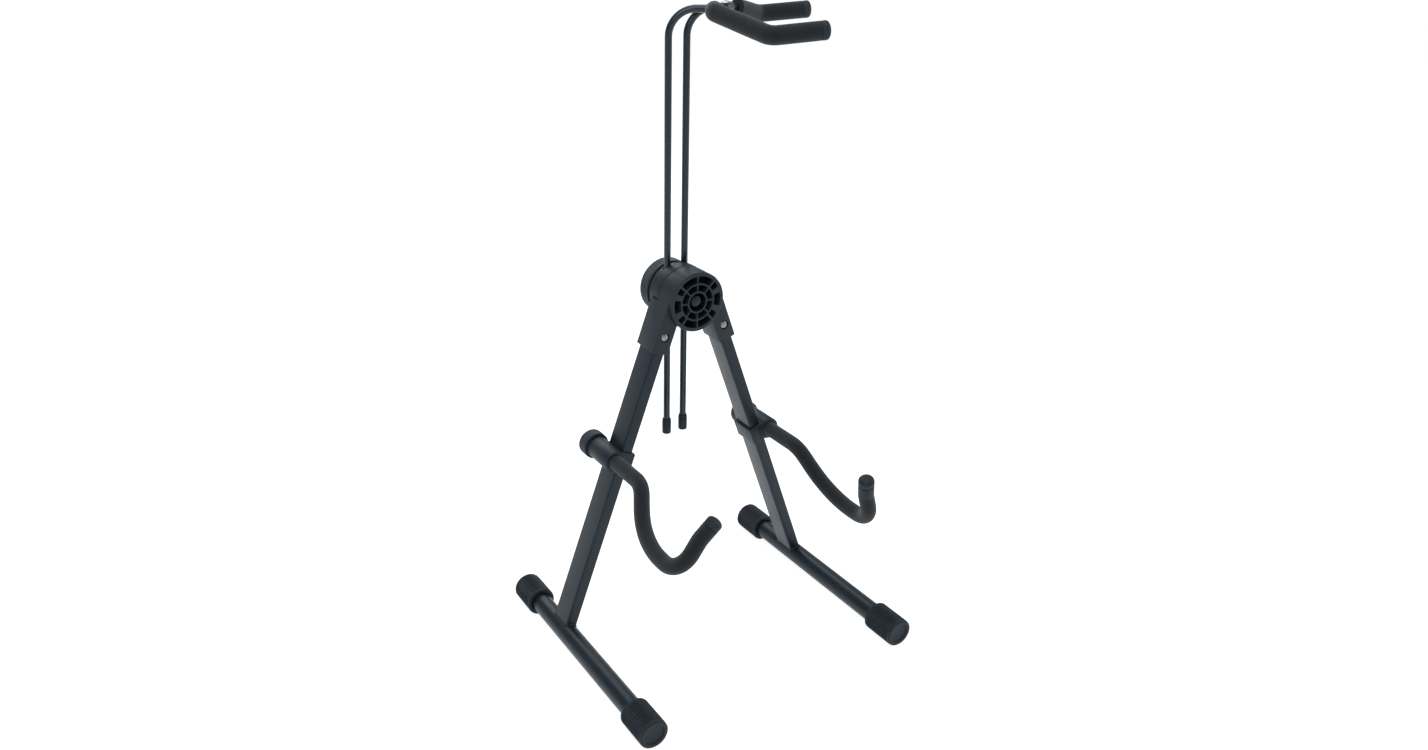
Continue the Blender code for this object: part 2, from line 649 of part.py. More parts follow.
def add_clamp(shop, side, leg_frame, finishes):
    """The sleeve that slides on a leg, with the barrel that the arm turns in."""
    name = SIDE_NAMES[side]
    clamp = shop.frame(
        name + "_clamp_frame", leg_frame, (side * ARM_AXIS, 0, -CLAMP_DROP[side])
    )
    leg_middle = -side * CLAMP_OUT
    half = LEG_THICK / 2 + CLAMP_FIT
    skin = half + CLAMP_WALL
    front, rear = LEG_FRONT - CLAMP_FIT, LEG_REAR + CLAMP_FIT
    sleeve = shop.box(
        name + "_leg_clamp",
        (leg_middle - skin, front - CLAMP_WALL, -CLAMP_LONG / 2),
        (leg_middle + skin, rear + CLAMP_REAR_WALL, CLAMP_LONG / 2), clamp, finishes.plastic,
    )
    edge = sleeve.modifiers.new("Edges", "BEVEL")
    edge.width = 1.5 * MM
    edge.segments = 2
    barrel = shop.cylinder(name + "_barrel", BARREL_RADIUS, BARREL_FRONT, BARREL_REAR, clamp)
    slot = shop.box(
        name + "_leg_slot",
        (leg_middle - half, front, -CLAMP_LONG), (leg_middle + half, rear, CLAMP_LONG), clamp,
    )
    bore = shop.cylinder(
        name + "_barrel_bore", ROD_RADIUS + GAP, 2 * BARREL_FRONT, 2 * BARREL_REAR, clamp, sides=20
    )
    pocket = shop.cylinder(
        name + "_shoulder_pocket", ARM_FOAM_RADIUS + 2 * GAP, 2 * BARREL_FRONT,
        BARREL_FRONT + ARM_SHOULDER_LONG + 3 * GAP, clamp, sides=24,
    )
    shop.join(sleeve, barrel)
    shop.cut(sleeve, slot, bore, pocket)
    ring = BARREL_REAR + GAP, BARREL_REAR + GAP + WASHER_THICK
    hole = ROD_RADIUS + GAP
    shop.turned(
        name + "_arm_washer",
        [(hole, ring[1]), (2 * ROD_RADIUS, ring[1]), (2 * ROD_RADIUS, ring[0]), (hole, ring[0])],
        clamp, finishes.nickel, sides=16,
    )
    return clamp


def add_arm(shop, side, clamp, finishes):
    """The hooked rod that carries the body of the instrument, its foam and its knob."""
    name = SIDE_NAMES[side] + "_arm"
    arm = shop.frame(name + "_frame", clamp, turn=-side * ARM_SWIVEL[side])
    path = arm_path()
    rod = shop.tube(name + "_rod", path, ROD_RADIUS, arm, finishes.rod)
    seat = BARREL_FRONT + ARM_SHOULDER_LONG + 2 * GAP
    shoulder = shop.cylinder(
        name + "_shoulder", ARM_SHOULDER_RADIUS, seat - ARM_SHOULDER_LONG, seat, arm, sides=24
    )
    shop.join(rod, shoulder)
    start = ARM_REAR - seat + ARM_SHOULDER_LONG + GAP
    add_grip(shop, name, path, start, ARM_FOAM_RADIUS, arm, finishes)
    add_knob(
        shop, name + "_knob", ARM_KNOB_RADIUS, ARM_KNOB_FRONT, ARM_KNOB_LONG, ROD_RADIUS,
        INSERT_FLATS, INSERT_LONG, arm, finishes,
    )


def build_stand():
    """Every piece of the stand, standing open on its feet."""
    clear_scene()
    shop = Workshop()
    finishes = Finishes()
    hub = shop.frame("hub_frame", None, (0, HUB_SETBACK, HUB_HEIGHT))
    add_hub(shop, hub, finishes)
    add_knob(
        shop, "hub_knob", HUB_KNOB_RADIUS, HUB_KNOB_FRONT, HUB_KNOB_LONG, BOLT_RADIUS,
        INSERT_FLATS, INSERT_LONG, hub, finishes,
    )
    for side in (LEFT, RIGHT):
        leg_frame = shop.frame(SIDE_NAMES[side] + "_leg_frame", hub, turn=-side * LEAN)
        screw_hole = add_bracket(shop, side, leg_frame, finishes)
        add_leg(shop, side, leg_frame, screw_hole, finishes)
        add_foot(shop, side, leg_frame, finishes)
        add_neck_rod(shop, side, hub, finishes)
        clamp = add_clamp(shop, side, leg_frame, finishes)
        add_arm(shop, side, clamp, finishes)


if __name__ == "__main__":
    build_stand()
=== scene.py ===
"""Looks of a black folding guitar stand: hub, legs, foam-covered yoke and arms."""

import json
import logging
import math
from dataclasses import dataclass, field
from enum import Enum
from typing import Any, Callable, Iterable, Sequence

import bmesh
import bpy
from mathutils import Matrix, Vector, noise

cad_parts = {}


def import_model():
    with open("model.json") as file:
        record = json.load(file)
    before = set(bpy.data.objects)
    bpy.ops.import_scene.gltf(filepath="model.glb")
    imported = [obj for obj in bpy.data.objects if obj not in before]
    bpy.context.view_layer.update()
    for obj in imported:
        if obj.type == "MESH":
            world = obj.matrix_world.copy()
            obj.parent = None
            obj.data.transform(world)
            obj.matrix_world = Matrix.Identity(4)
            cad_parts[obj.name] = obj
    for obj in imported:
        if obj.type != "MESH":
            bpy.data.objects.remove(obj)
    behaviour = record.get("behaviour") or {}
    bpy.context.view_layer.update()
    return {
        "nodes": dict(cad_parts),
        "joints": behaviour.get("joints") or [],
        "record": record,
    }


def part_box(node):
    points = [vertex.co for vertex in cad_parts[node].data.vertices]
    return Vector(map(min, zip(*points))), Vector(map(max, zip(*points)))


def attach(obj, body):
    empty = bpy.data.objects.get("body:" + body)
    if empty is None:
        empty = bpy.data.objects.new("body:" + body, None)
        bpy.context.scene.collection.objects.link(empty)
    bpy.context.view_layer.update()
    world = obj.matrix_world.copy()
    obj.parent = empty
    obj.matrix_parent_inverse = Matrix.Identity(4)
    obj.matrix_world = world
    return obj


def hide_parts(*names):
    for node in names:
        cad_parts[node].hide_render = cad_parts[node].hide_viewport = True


LOG = logging.getLogger("guitar_stand")
MM = 0.001
FULL_TURN = 2 * math.pi
Profile = Sequence[tuple[float, float]]


class Side(Enum):
    """The two halves of the stand, with the sign of their X."""

    LEFT = -1
    RIGHT = 1

    @property
    def label(self) -> str:
        """The word that starts the names of this side's pieces."""
        return self.name.lower()


# --------------------------------------------------------------------------- finishes


class Value:
    """A number that varies over the surface, written as a Python expression."""

    def __init__(self, graph: "Graph", socket: bpy.types.NodeSocket) -> None:
        """Wrap one output socket of a graph."""
        self.graph = graph
        self.socket = socket

    def _math(self, operation: str, *operands: Any) -> "Value":
        """Add one Math node.

        Args:
            operation: Blender's name of the operation.
            operands: values or plain numbers, in order.

        Returns:
            The node's result.
        """
        inputs = {index: operand for index, operand in enumerate(operands)}
        made = self.graph.node("ShaderNodeMath", {"operation": operation}, inputs)
        return Value(self.graph, made.outputs[0])

    def __add__(self, other: Any) -> "Value":
        """Sum of two values."""
        return self._math("ADD", self, other)

    __radd__ = __add__

    def __mul__(self, other: Any) -> "Value":
        """Product of two values."""
        return self._math("MULTIPLY", self, other)

    __rmul__ = __mul__

    def __sub__(self, other: Any) -> "Value":
        """Difference of two values."""
        return self._math("SUBTRACT", self, other)

    def __rsub__(self, other: Any) -> "Value":
        """Difference with the plain number first."""
        return self._math("SUBTRACT", other, self)

    def between(self, low: float, high: float) -> "Value":
        """The value mapped from low..high onto 0..1 with soft ends."""
        settings = {"interpolation_type": "SMOOTHSTEP"}
        made = self.graph.node("ShaderNodeMapRange", settings, {0: self, 1: low, 2: high})
        return Value(self.graph, made.outputs[0])


class Graph:
    """One material and the nodes that are added to it."""

    def __init__(self, name: str, gloss: float = 0.32) -> None:
        """Start a material with its Principled shader and its share of mirror light."""
        self.material = bpy.data.materials.new(name)
        self.material.use_nodes = True
        self.tree = self.material.node_tree
        self.shader = self.tree.nodes["Principled BSDF"]
        self.shader.inputs["Specular IOR Level"].default_value = gloss
        self.shader.inputs["Specular Tint"].default_value = (0.66, 0.85, 1.0, 1)
        place = self.node("ShaderNodeTexCoord", {}, {})
        self.place = place.outputs["Object"]

    def node(self, kind: str, settings: dict[str, Any], inputs: dict[Any, Any]) -> bpy.types.Node:
        """Add a node.

        Args:
            kind: the node's type.
            settings: attributes that are set first.
            inputs: socket name or number, and its value, socket or plain number.

        Returns:
            The new node.
        """
        made = self.tree.nodes.new(kind)
        for key, setting in settings.items():
            setattr(made, key, setting)
        self.feed(made, inputs)
        return made

    def feed(self, node: bpy.types.Node, inputs: dict[Any, Any]) -> None:
        """Link or set each given input of a node."""
        for key, given in inputs.items():
            given = given.socket if isinstance(given, Value) else given
            if isinstance(given, bpy.types.NodeSocket):
                self.tree.links.new(given, node.inputs[key])
            else:
                node.inputs[key].default_value = given

    def grain(self, size: float, detail: float = 3.0, stretch: Sequence[float] = (1, 1, 1)) -> Value:
        """Soft noise of a given size in metres, from 0 to 1."""
        scale = {"Scale": tuple(stretch), "Vector": self.place}
        place = self.node("ShaderNodeMapping", {}, scale).outputs[0]
        inputs = {"Vector": place, "Scale": 1 / size, "Detail": detail}
        return Value(self, self.node("ShaderNodeTexNoise", {}, inputs).outputs[0])

    def cells(self, size: float) -> Value:
        """Distance to the middle of the nearest cell, in cells of a given size."""
        inputs = {"Vector": self.place, "Scale": 1 / size}
        return Value(self, self.node("ShaderNodeTexVoronoi", {}, inputs).outputs[0])

    def blend(self, share: Value, first: Sequence[float], second: Sequence[float]) -> bpy.types.NodeSocket:
        """A colour between two, by a share from 0 to 1."""
        inputs = {0: share, 6: (*first, 1), 7: (*second, 1)}
        made = self.node("ShaderNodeMix", {"data_type": "RGBA"}, inputs)
        return made.outputs[2]

    def bump(self, height: Value, depth: float, strength: float = 1.0) -> None:
        """Let a height from 0 to 1 rise by depth metres on the surface."""
        inputs = {"Height": height, "Distance": depth, "Strength": strength}
        made = self.node("ShaderNodeBump", {}, inputs)
        self.feed(self.shader, {"Normal": made.outputs[0]})


@dataclass(frozen=True)
class MouldedPlastic:
    """Black moulded plastic with a fine spark-eroded grain and handling marks."""

    dark: tuple[float, float, float] = (0.0055, 0.0085, 0.0120)
    light: tuple[float, float, float] = (0.0105, 0.0145, 0.0190)
    grain: float = 0.55 * MM
    roughness: float = 0.40

    def make(self) -> bpy.types.Material:
        """Build the material."""
        graph = Graph("moulded_plastic")
        fine = graph.grain(self.grain, 2)
        cloud = graph.grain(26 * MM, 4)
        rough = self.roughness + fine * 0.10 + cloud.between(0.35, 0.75) * 0.10
        colour = graph.blend(cloud.between(0.3, 0.7) * 0.7 + fine * 0.3, self.dark, self.light)
        graph.feed(graph.shader, {"Base Color": colour, "Roughness": rough})
        graph.bump(fine, 0.05 * MM, 0.55)
        return graph.material


@dataclass(frozen=True)
class PowderCoat:
    """Satin black powder coat with orange peel and faint rub marks."""

    dark: tuple[float, float, float] = (0.0045, 0.0070, 0.0105)
    light: tuple[float, float, float] = (0.0090, 0.0130, 0.0175)
    roughness: float = 0.34
    peel: float = 1.6 * MM

    def make(self) -> bpy.types.Material:
        """Build the material."""
        graph = Graph("powder_coat")
        peel = graph.grain(self.peel, 1.5)
        fine = graph.grain(0.35 * MM, 2)
        rub = graph.grain(14 * MM, 5, (1, 1, 0.25)).between(0.52, 0.74)
        colour = graph.blend(rub * 0.6 + peel * 0.3, self.dark, self.light)
        rough = self.roughness + rub * 0.09 + fine * 0.06
        graph.feed(graph.shader, {"Base Color": colour, "Roughness": rough})
        graph.bump(peel * 0.7 + fine * 0.3, 0.06 * MM, 0.5)
        return graph.material


@dataclass(frozen=True)
class RodPaint:
    """Glossier black paint on round rod and tube."""

    name: str = "rod_paint"
    dark: tuple[float, float, float] = (0.0035, 0.0050, 0.0075)
    light: tuple[float, float, float] = (0.0060, 0.0080, 0.0110)
    roughness: float = 0.22

    def make(self) -> bpy.types.Material:
        """Build the material."""
        graph = Graph(self.name)
        wave = graph.grain(5 * MM, 3)
        fine = graph.grain(0.5 * MM, 2)
        colour = graph.blend(wave.between(0.2, 0.9), self.dark, self.light)
        rough = self.roughness + wave.between(0.5, 0.8) * 0.10 + fine * 0.05
        graph.feed(graph.shader, {"Base Color": colour, "Roughness": rough})
        graph.shader.inputs["Coat Roughness"].default_value = 0.12
        graph.shader.inputs["Coat Weight"].default_value = 0.25
        graph.bump(fine, 0.012 * MM, 0.4)
        return graph.material


@dataclass(frozen=True)
class GripFoam:
    """Charcoal closed-cell foam: tiny open pores, pale flecks and a soft bloom."""

    dark: tuple[float, float, float] = (0.0032, 0.0042, 0.0054)
    light: tuple[float, float, float] = (0.0130, 0.0155, 0.0180)
    pore: float = 0.75 * MM

    def make(self) -> bpy.types.Material:
        """Build the material."""
        graph = Graph("grip_foam", 0.16)
        pores = graph.cells(self.pore)
        flecks = graph.grain(0.9 * MM, 4)
        bloom = graph.grain(9 * MM, 4)
        share = flecks.between(0.40, 0.78) * 0.75 + bloom.between(0.35, 0.8) * 0.25
        rough = 0.78 + flecks * 0.16
        colour = graph.blend(share, self.dark, self.light)
        graph.feed(graph.shader, {"Base Color": colour, "Roughness": rough})
        graph.shader.inputs["Sheen Weight"].default_value = 0.12
        graph.shader.inputs["Sheen Roughness"].default_value = 0.6
        graph.bump(pores * 0.55 + flecks * 0.45, 0.16 * MM, 0.8)
        return graph.material


@dataclass(frozen=True)
class CapRubber:
    """Matte black rubber with dust in it."""

    dark: tuple[float, float, float] = (0.0050, 0.0068, 0.0090)
    light: tuple[float, float, float] = (0.0130, 0.0165, 0.0205)

    def make(self) -> bpy.types.Material:
        """Build the material."""
        graph = Graph("cap_rubber")
        dust = graph.grain(4 * MM, 6)
        fine = graph.grain(0.4 * MM, 2)
        colour = graph.blend(dust.between(0.42, 0.8) * 0.8 + fine * 0.2, self.dark, self.light)
        rough = 0.50 + dust * 0.14 + fine * 0.06
        graph.feed(graph.shader, {"Base Color": colour, "Roughness": rough})
        graph.bump(fine, 0.05 * MM, 0.5)
        return graph.material


@dataclass(frozen=True)
class NickelPlate:
    """Bright nickel plate with fine scratches."""

    bright: tuple[float, float, float] = (0.26, 0.245, 0.235)
    dull: tuple[float, float, float] = (0.14, 0.135, 0.13)

    def make(self) -> bpy.types.Material:
        """Build the material."""
        graph = Graph("nickel_plate", 0.5)
        scratch = graph.grain(0.5 * MM, 3, (1, 0.15, 1))
        stain = graph.grain(3 * MM, 4)
        colour = graph.blend(stain.between(0.45, 0.8), self.bright, self.dull)
        rough = 0.14 + scratch * 0.12 + stain.between(0.5, 0.8) * 0.12
        graph.feed(graph.shader, {"Base Color": colour, "Roughness": rough})
        graph.shader.inputs["Metallic"].default_value = 1.0
        graph.bump(scratch, 0.01 * MM, 0.4)
        return graph.material


class Slot(Enum):
    """The record's material slots."""

    PLASTIC = "hub_plastic"
    STEEL = "painted_steel"
    ROD = "rod_paint"
    RUBBER = "cap_rubber"
    FOAM = "grip_foam"
    NICKEL = "nickel_plate"


@dataclass
class Paints:
    """One material for each slot, made once."""

    made: dict[Slot, bpy.types.Material] = field(default_factory=dict)

    def __post_init__(self) -> None:
        """Mix every finish."""
        self.made = {
            Slot.PLASTIC: MouldedPlastic().make(),
            Slot.STEEL: PowderCoat().make(),
            Slot.ROD: RodPaint().make(),
            Slot.RUBBER: CapRubber().make(),
            Slot.FOAM: GripFoam().make(),
            Slot.NICKEL: NickelPlate().make(),
        }

    def coat(self, piece: bpy.types.Object, slot: Slot) -> None:
        """Give a piece the material of its slot."""
        piece.data.materials.clear()
        piece.data.materials.append(self.made[slot])


# --------------------------------------------------------------------------- shaping


def turned(build: bmesh.types.BMesh, profile: Profile, steps: int, place: Matrix) -> None:
    """Spin a profile of (radius, place) pairs round the local Z axis.

    Args:
        build: the mesh that takes the shape.
        profile: an open line whose ends lie on the axis, or a closed ring that clears it.
        steps: facets in a full turn.
        place: where local Z and the origin go.
    """
    line = [build.verts.new((radius, 0, height)) for radius, height in profile]
    edges = [build.edges.new(pair) for pair in zip(line, line[1:])]
    if profile[0][0] > 0:
        edges.append(build.edges.new((line[-1], line[0])))
    before = set(build.verts) - set(line)
    bmesh.ops.spin(
        build, geom=line + edges, axis=(0, 0, 1), cent=(0, 0, 0), steps=steps,
        angle=FULL_TURN, use_merge=True,
    )
    fresh = [vert for vert in build.verts if vert not in before]
    bmesh.ops.remove_doubles(build, verts=fresh, dist=0.002 * MM)
    fresh = [vert for vert in build.verts if vert not in before]
    bmesh.ops.transform(build, matrix=place, verts=fresh)


def along_y(matrix: Matrix) -> Matrix:
    """A frame whose local Z runs along the given frame's Y."""
    return matrix @ Matrix.Rotation(math.radians(-90), 4, "X")


def slab(build: bmesh.types.BMesh, low: Sequence[float], high: Sequence[float], place: Matrix,
         edge: float = 0.0) -> None:
    """A box between two corners of a frame, with edges rounded to a radius."""
    low, high = Vector(low), Vector(high)
    size = Matrix.Diagonal((*(high - low), 1))
    shape = place @ Matrix.Translation((low + high) / 2) @ size
    made = bmesh.ops.create_cube(build, size=1, matrix=shape)
    if edge:
        edges = {item for vert in made["verts"] for item in vert.link_edges}
        bmesh.ops.bevel(
            build, geom=list(edges), offset=edge, affect="EDGES", segments=3, profile=0.5,
            material=-1,
        )


def swept(build: bmesh.types.BMesh, path: Sequence[Vector], radii: Sequence[float], sides: int) -> None:
    """Draw a ring along a path, growing and shrinking it, and close both ends.

    Args:
        build: the mesh that takes the shape.
        path: the points of the centre line.
        radii: the ring's radius at each point; 0 at an end closes it to a point.
        sides: points in the ring.
    """
    tiny = 0.02 * MM
    heading = _heading(path, 0)
    turn = Vector((0, 0, 1)).rotation_difference(heading).to_matrix().to_4x4()
    first = Matrix.Translation(path[0]) @ turn
    ring = bmesh.ops.create_circle(build, segments=sides, radius=max(radii[0], tiny), matrix=first)
    start = ring["verts"]
    edges = list({edge for vert in start for edge in vert.link_edges})
    last = start
    for index in range(1, len(path)):
        grown = bmesh.ops.extrude_edge_only(build, edges=edges)["geom"]
        last = [item for item in grown if isinstance(item, bmesh.types.BMVert)]
        edges = [
            item for item in grown
            if isinstance(item, bmesh.types.BMEdge) and all(vert in last for vert in item.verts)
        ]
        ahead = _heading(path, index)
        swing = heading.rotation_difference(ahead).to_matrix().to_4x4()
        scale = max(radii[index], tiny) / max(radii[index - 1], tiny)
        move = Matrix.Translation(path[index]) @ swing @ Matrix.Scale(scale, 4)
        bmesh.ops.transform(build, matrix=move @ Matrix.Translation(-path[index - 1]), verts=last)
        heading = ahead
    for end in (start, last):
        rim = list({edge for vert in end for edge in vert.link_edges
                    if all(other in end for other in edge.verts)})
        bmesh.ops.edgeloop_fill(build, edges=rim)


def _heading(path: Sequence[Vector], index: int) -> Vector:
    """The path's direction at a point."""
    before, after = max(index - 1, 0), min(index + 1, len(path) - 1)
    return (path[after] - path[before]).normalized()


def rounded(corners: Iterable[Sequence[float]], radii: Sequence[float]) -> list[Vector]:
    """The corners as a path whose inner corners are arcs, with a point every few degrees."""
    corners = [Vector(corner) for corner in corners]
    path = [corners[0]]
    for before, corner, after, radius in zip(corners, corners[1:], corners[2:], radii):
        back, ahead = (before - corner).normalized(), (after - corner).normalized()
        turn = math.pi - back.angle(ahead)
        start = corner + back * radius * math.tan(turn / 2)
        centre = corner + (back + ahead).normalized() * radius / math.cos(turn / 2)
        out, side = start - centre, -back * radius
        count = max(4, math.ceil(math.degrees(turn) / 4))
        for index in range(count + 1):
            angle = turn * index / count
            path.append(centre + out * math.cos(angle) + side * math.sin(angle))
    path.append(corners[-1])
    return path


def stations(path: Sequence[Vector], places: Sequence[float]) -> list[Vector]:
    """Points at given lengths along a path, running straight on past its ends."""
    lengths = [0.0]
    for first, second in zip(path, path[1:]):
        lengths.append(lengths[-1] + (second - first).length)
    found = []
    for where in places:
        index = next((i for i in range(1, len(lengths) - 1) if where < lengths[i]), len(lengths) - 1)
        share = (where - lengths[index - 1]) / (lengths[index] - lengths[index - 1])
        found.append(path[index - 1] + (path[index] - path[index - 1]) * share)
    return found


def length_of(path: Sequence[Vector]) -> float:
    """The path's length."""
    return sum((second - first).length for first, second in zip(path, path[1:]))


def spaced(start: float, end: float, step: float) -> list[float]:
    """Even places from start to end, no further apart than step."""
    count = max(1, math.ceil((end - start) / step))
    return [start + (end - start) * index / count for index in range(count + 1)]


def flute(build: bmesh.types.BMesh, place: Matrix, inner: float, count: int, depth: float,
          reach: Callable[[float, float], float]) -> None:
    """Press grooves along a turned shape's outside.

    Args:
        build: the turned shape.
        place: its frame, with the axis along local Z.
        inner: only points further out than this move.
        count: grooves in a full turn.
        depth: how deep they are.
        reach: share of the depth at a height and an angle.
    """
    back = place.inverted()
    for vert in build.verts:
        local = back @ vert.co
        radius = math.hypot(local.x, local.y)
        if radius < inner:
            continue
        angle = math.atan2(local.y, local.x)
        share = (0.5 - 0.5 * math.cos(count * angle)) * reach(local.z, angle)
        factor = (radius - depth * share) / radius
        vert.co = place @ Vector((local.x * factor, local.y * factor, local.z))


def carved(name: str, build: bmesh.types.BMesh, tools: Sequence[tuple[str, bmesh.types.BMesh]]
           ) -> bmesh.types.BMesh:
    """Join or cut a shape with others.

    Args:
        name: a word for the helpers.
        build: the shape to start from, which is used up.
        tools: pairs of a Boolean operation and its shape, in order, which are used up.

    Returns:
        The finished shape.
    """
    helpers = []
    for index, shape in enumerate((build, *(tool for _, tool in tools))):
        mesh = bpy.data.meshes.new(f"{name}_{index}")
        bmesh.ops.recalc_face_normals(shape, faces=shape.faces)
        shape.to_mesh(mesh)
        shape.free()
        helpers.append(bpy.data.objects.new(mesh.name, mesh))
        bpy.context.scene.collection.objects.link(helpers[-1])
    for (operation, _), helper in zip(tools, helpers[1:]):
        step = helpers[0].modifiers.new(helper.name, "BOOLEAN")
        step.operation = operation
        step.object = helper
        step.solver = "EXACT"
    graph = bpy.context.evaluated_depsgraph_get()
    mesh = bpy.data.meshes.new_from_object(helpers[0].evaluated_get(graph))
    made = bmesh.new()
    made.from_mesh(mesh)
    for helper in helpers:
        bpy.data.objects.remove(helper)
    bmesh.ops.remove_doubles(made, verts=made.verts, dist=0.004 * MM)
    bmesh.ops.dissolve_degenerate(made, edges=made.edges, dist=0.004 * MM)
    return made


@dataclass
class Bench:
    """Where finished shapes become pieces of the stand."""

    paints: Paints
    bodies: dict[str, str]

    def piece(self, name: str, build: bmesh.types.BMesh, slot: Slot, node: str = "",
              body: str = "", sharp: float = 32, bevel: float = 0.0) -> bpy.types.Object:
        """Turn a shape into a piece that rides on its body.

        Args:
            name: the piece's name.
            build: its shape, which is used up.
            slot: its finish.
            node: the CAD node that it stands for, if any.
            body: the body that it rides on, when it stands for no node.
            sharp: the angle in degrees past which an edge is shown crisp.
            bevel: width of a fine bevel on crisp edges.

        Returns:
            The piece.
        """
        bmesh.ops.recalc_face_normals(build, faces=build.faces)
        mesh = bpy.data.meshes.new(name)
        build.to_mesh(mesh)
        build.free()
        made = bpy.data.objects.new(name, mesh)
        bpy.context.scene.collection.objects.link(made)
        if bevel:
            step = made.modifiers.new("Edges", "BEVEL")
            step.width = bevel
            step.segments = 2
            step.limit_method = "ANGLE"
            step.angle_limit = math.radians(sharp)
            step.use_clamp_overlap = True
            step.harden_normals = False
        mesh.shade_smooth()
        mesh.set_sharp_from_angle(angle=math.radians(sharp))
        self.paints.coat(made, slot)
        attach(made, self.bodies[node] if node else body)
        if node:
            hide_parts(node)
        LOG.info("%s: %d faces", name, len(mesh.polygons))
        return made


@dataclass(frozen=True)
class Layout:
    """Where the frames of the stand's sub-assemblies lie, worked out from the frame's joints."""

    joints: dict[str, dict[str, Any]]

    @property
    def hub(self) -> Matrix:
        """The hub bolt's frame."""
        return Matrix.Translation(self.joints["hub_knob_turn"]["pos_m"])

    def lean(self, side: Side) -> float:
        """How far a leg leans out from the vertical."""
        axis = self.joints[side.label + "_clamp_slide"]["axis"]
        return math.atan2(abs(axis[0]), axis[2])

    def leg(self, side: Side) -> Matrix:
        """A leg's frame: the hub bolt, turned so that the leg runs down local Z."""
        return self.hub @ Matrix.Rotation(-side.value * self.lean(side), 4, "Y")

    def clamp(self, side: Side) -> Matrix:
        """A clamp's frame: on the arm's axis, square to its leg."""
        place = Vector(self.joints[side.label + "_arm_swivel"]["pos_m"])
        return Matrix.Translation(place) @ Matrix.Rotation(-side.value * self.lean(side), 4, "Y")


# --------------------------------------------------------------------------- hub


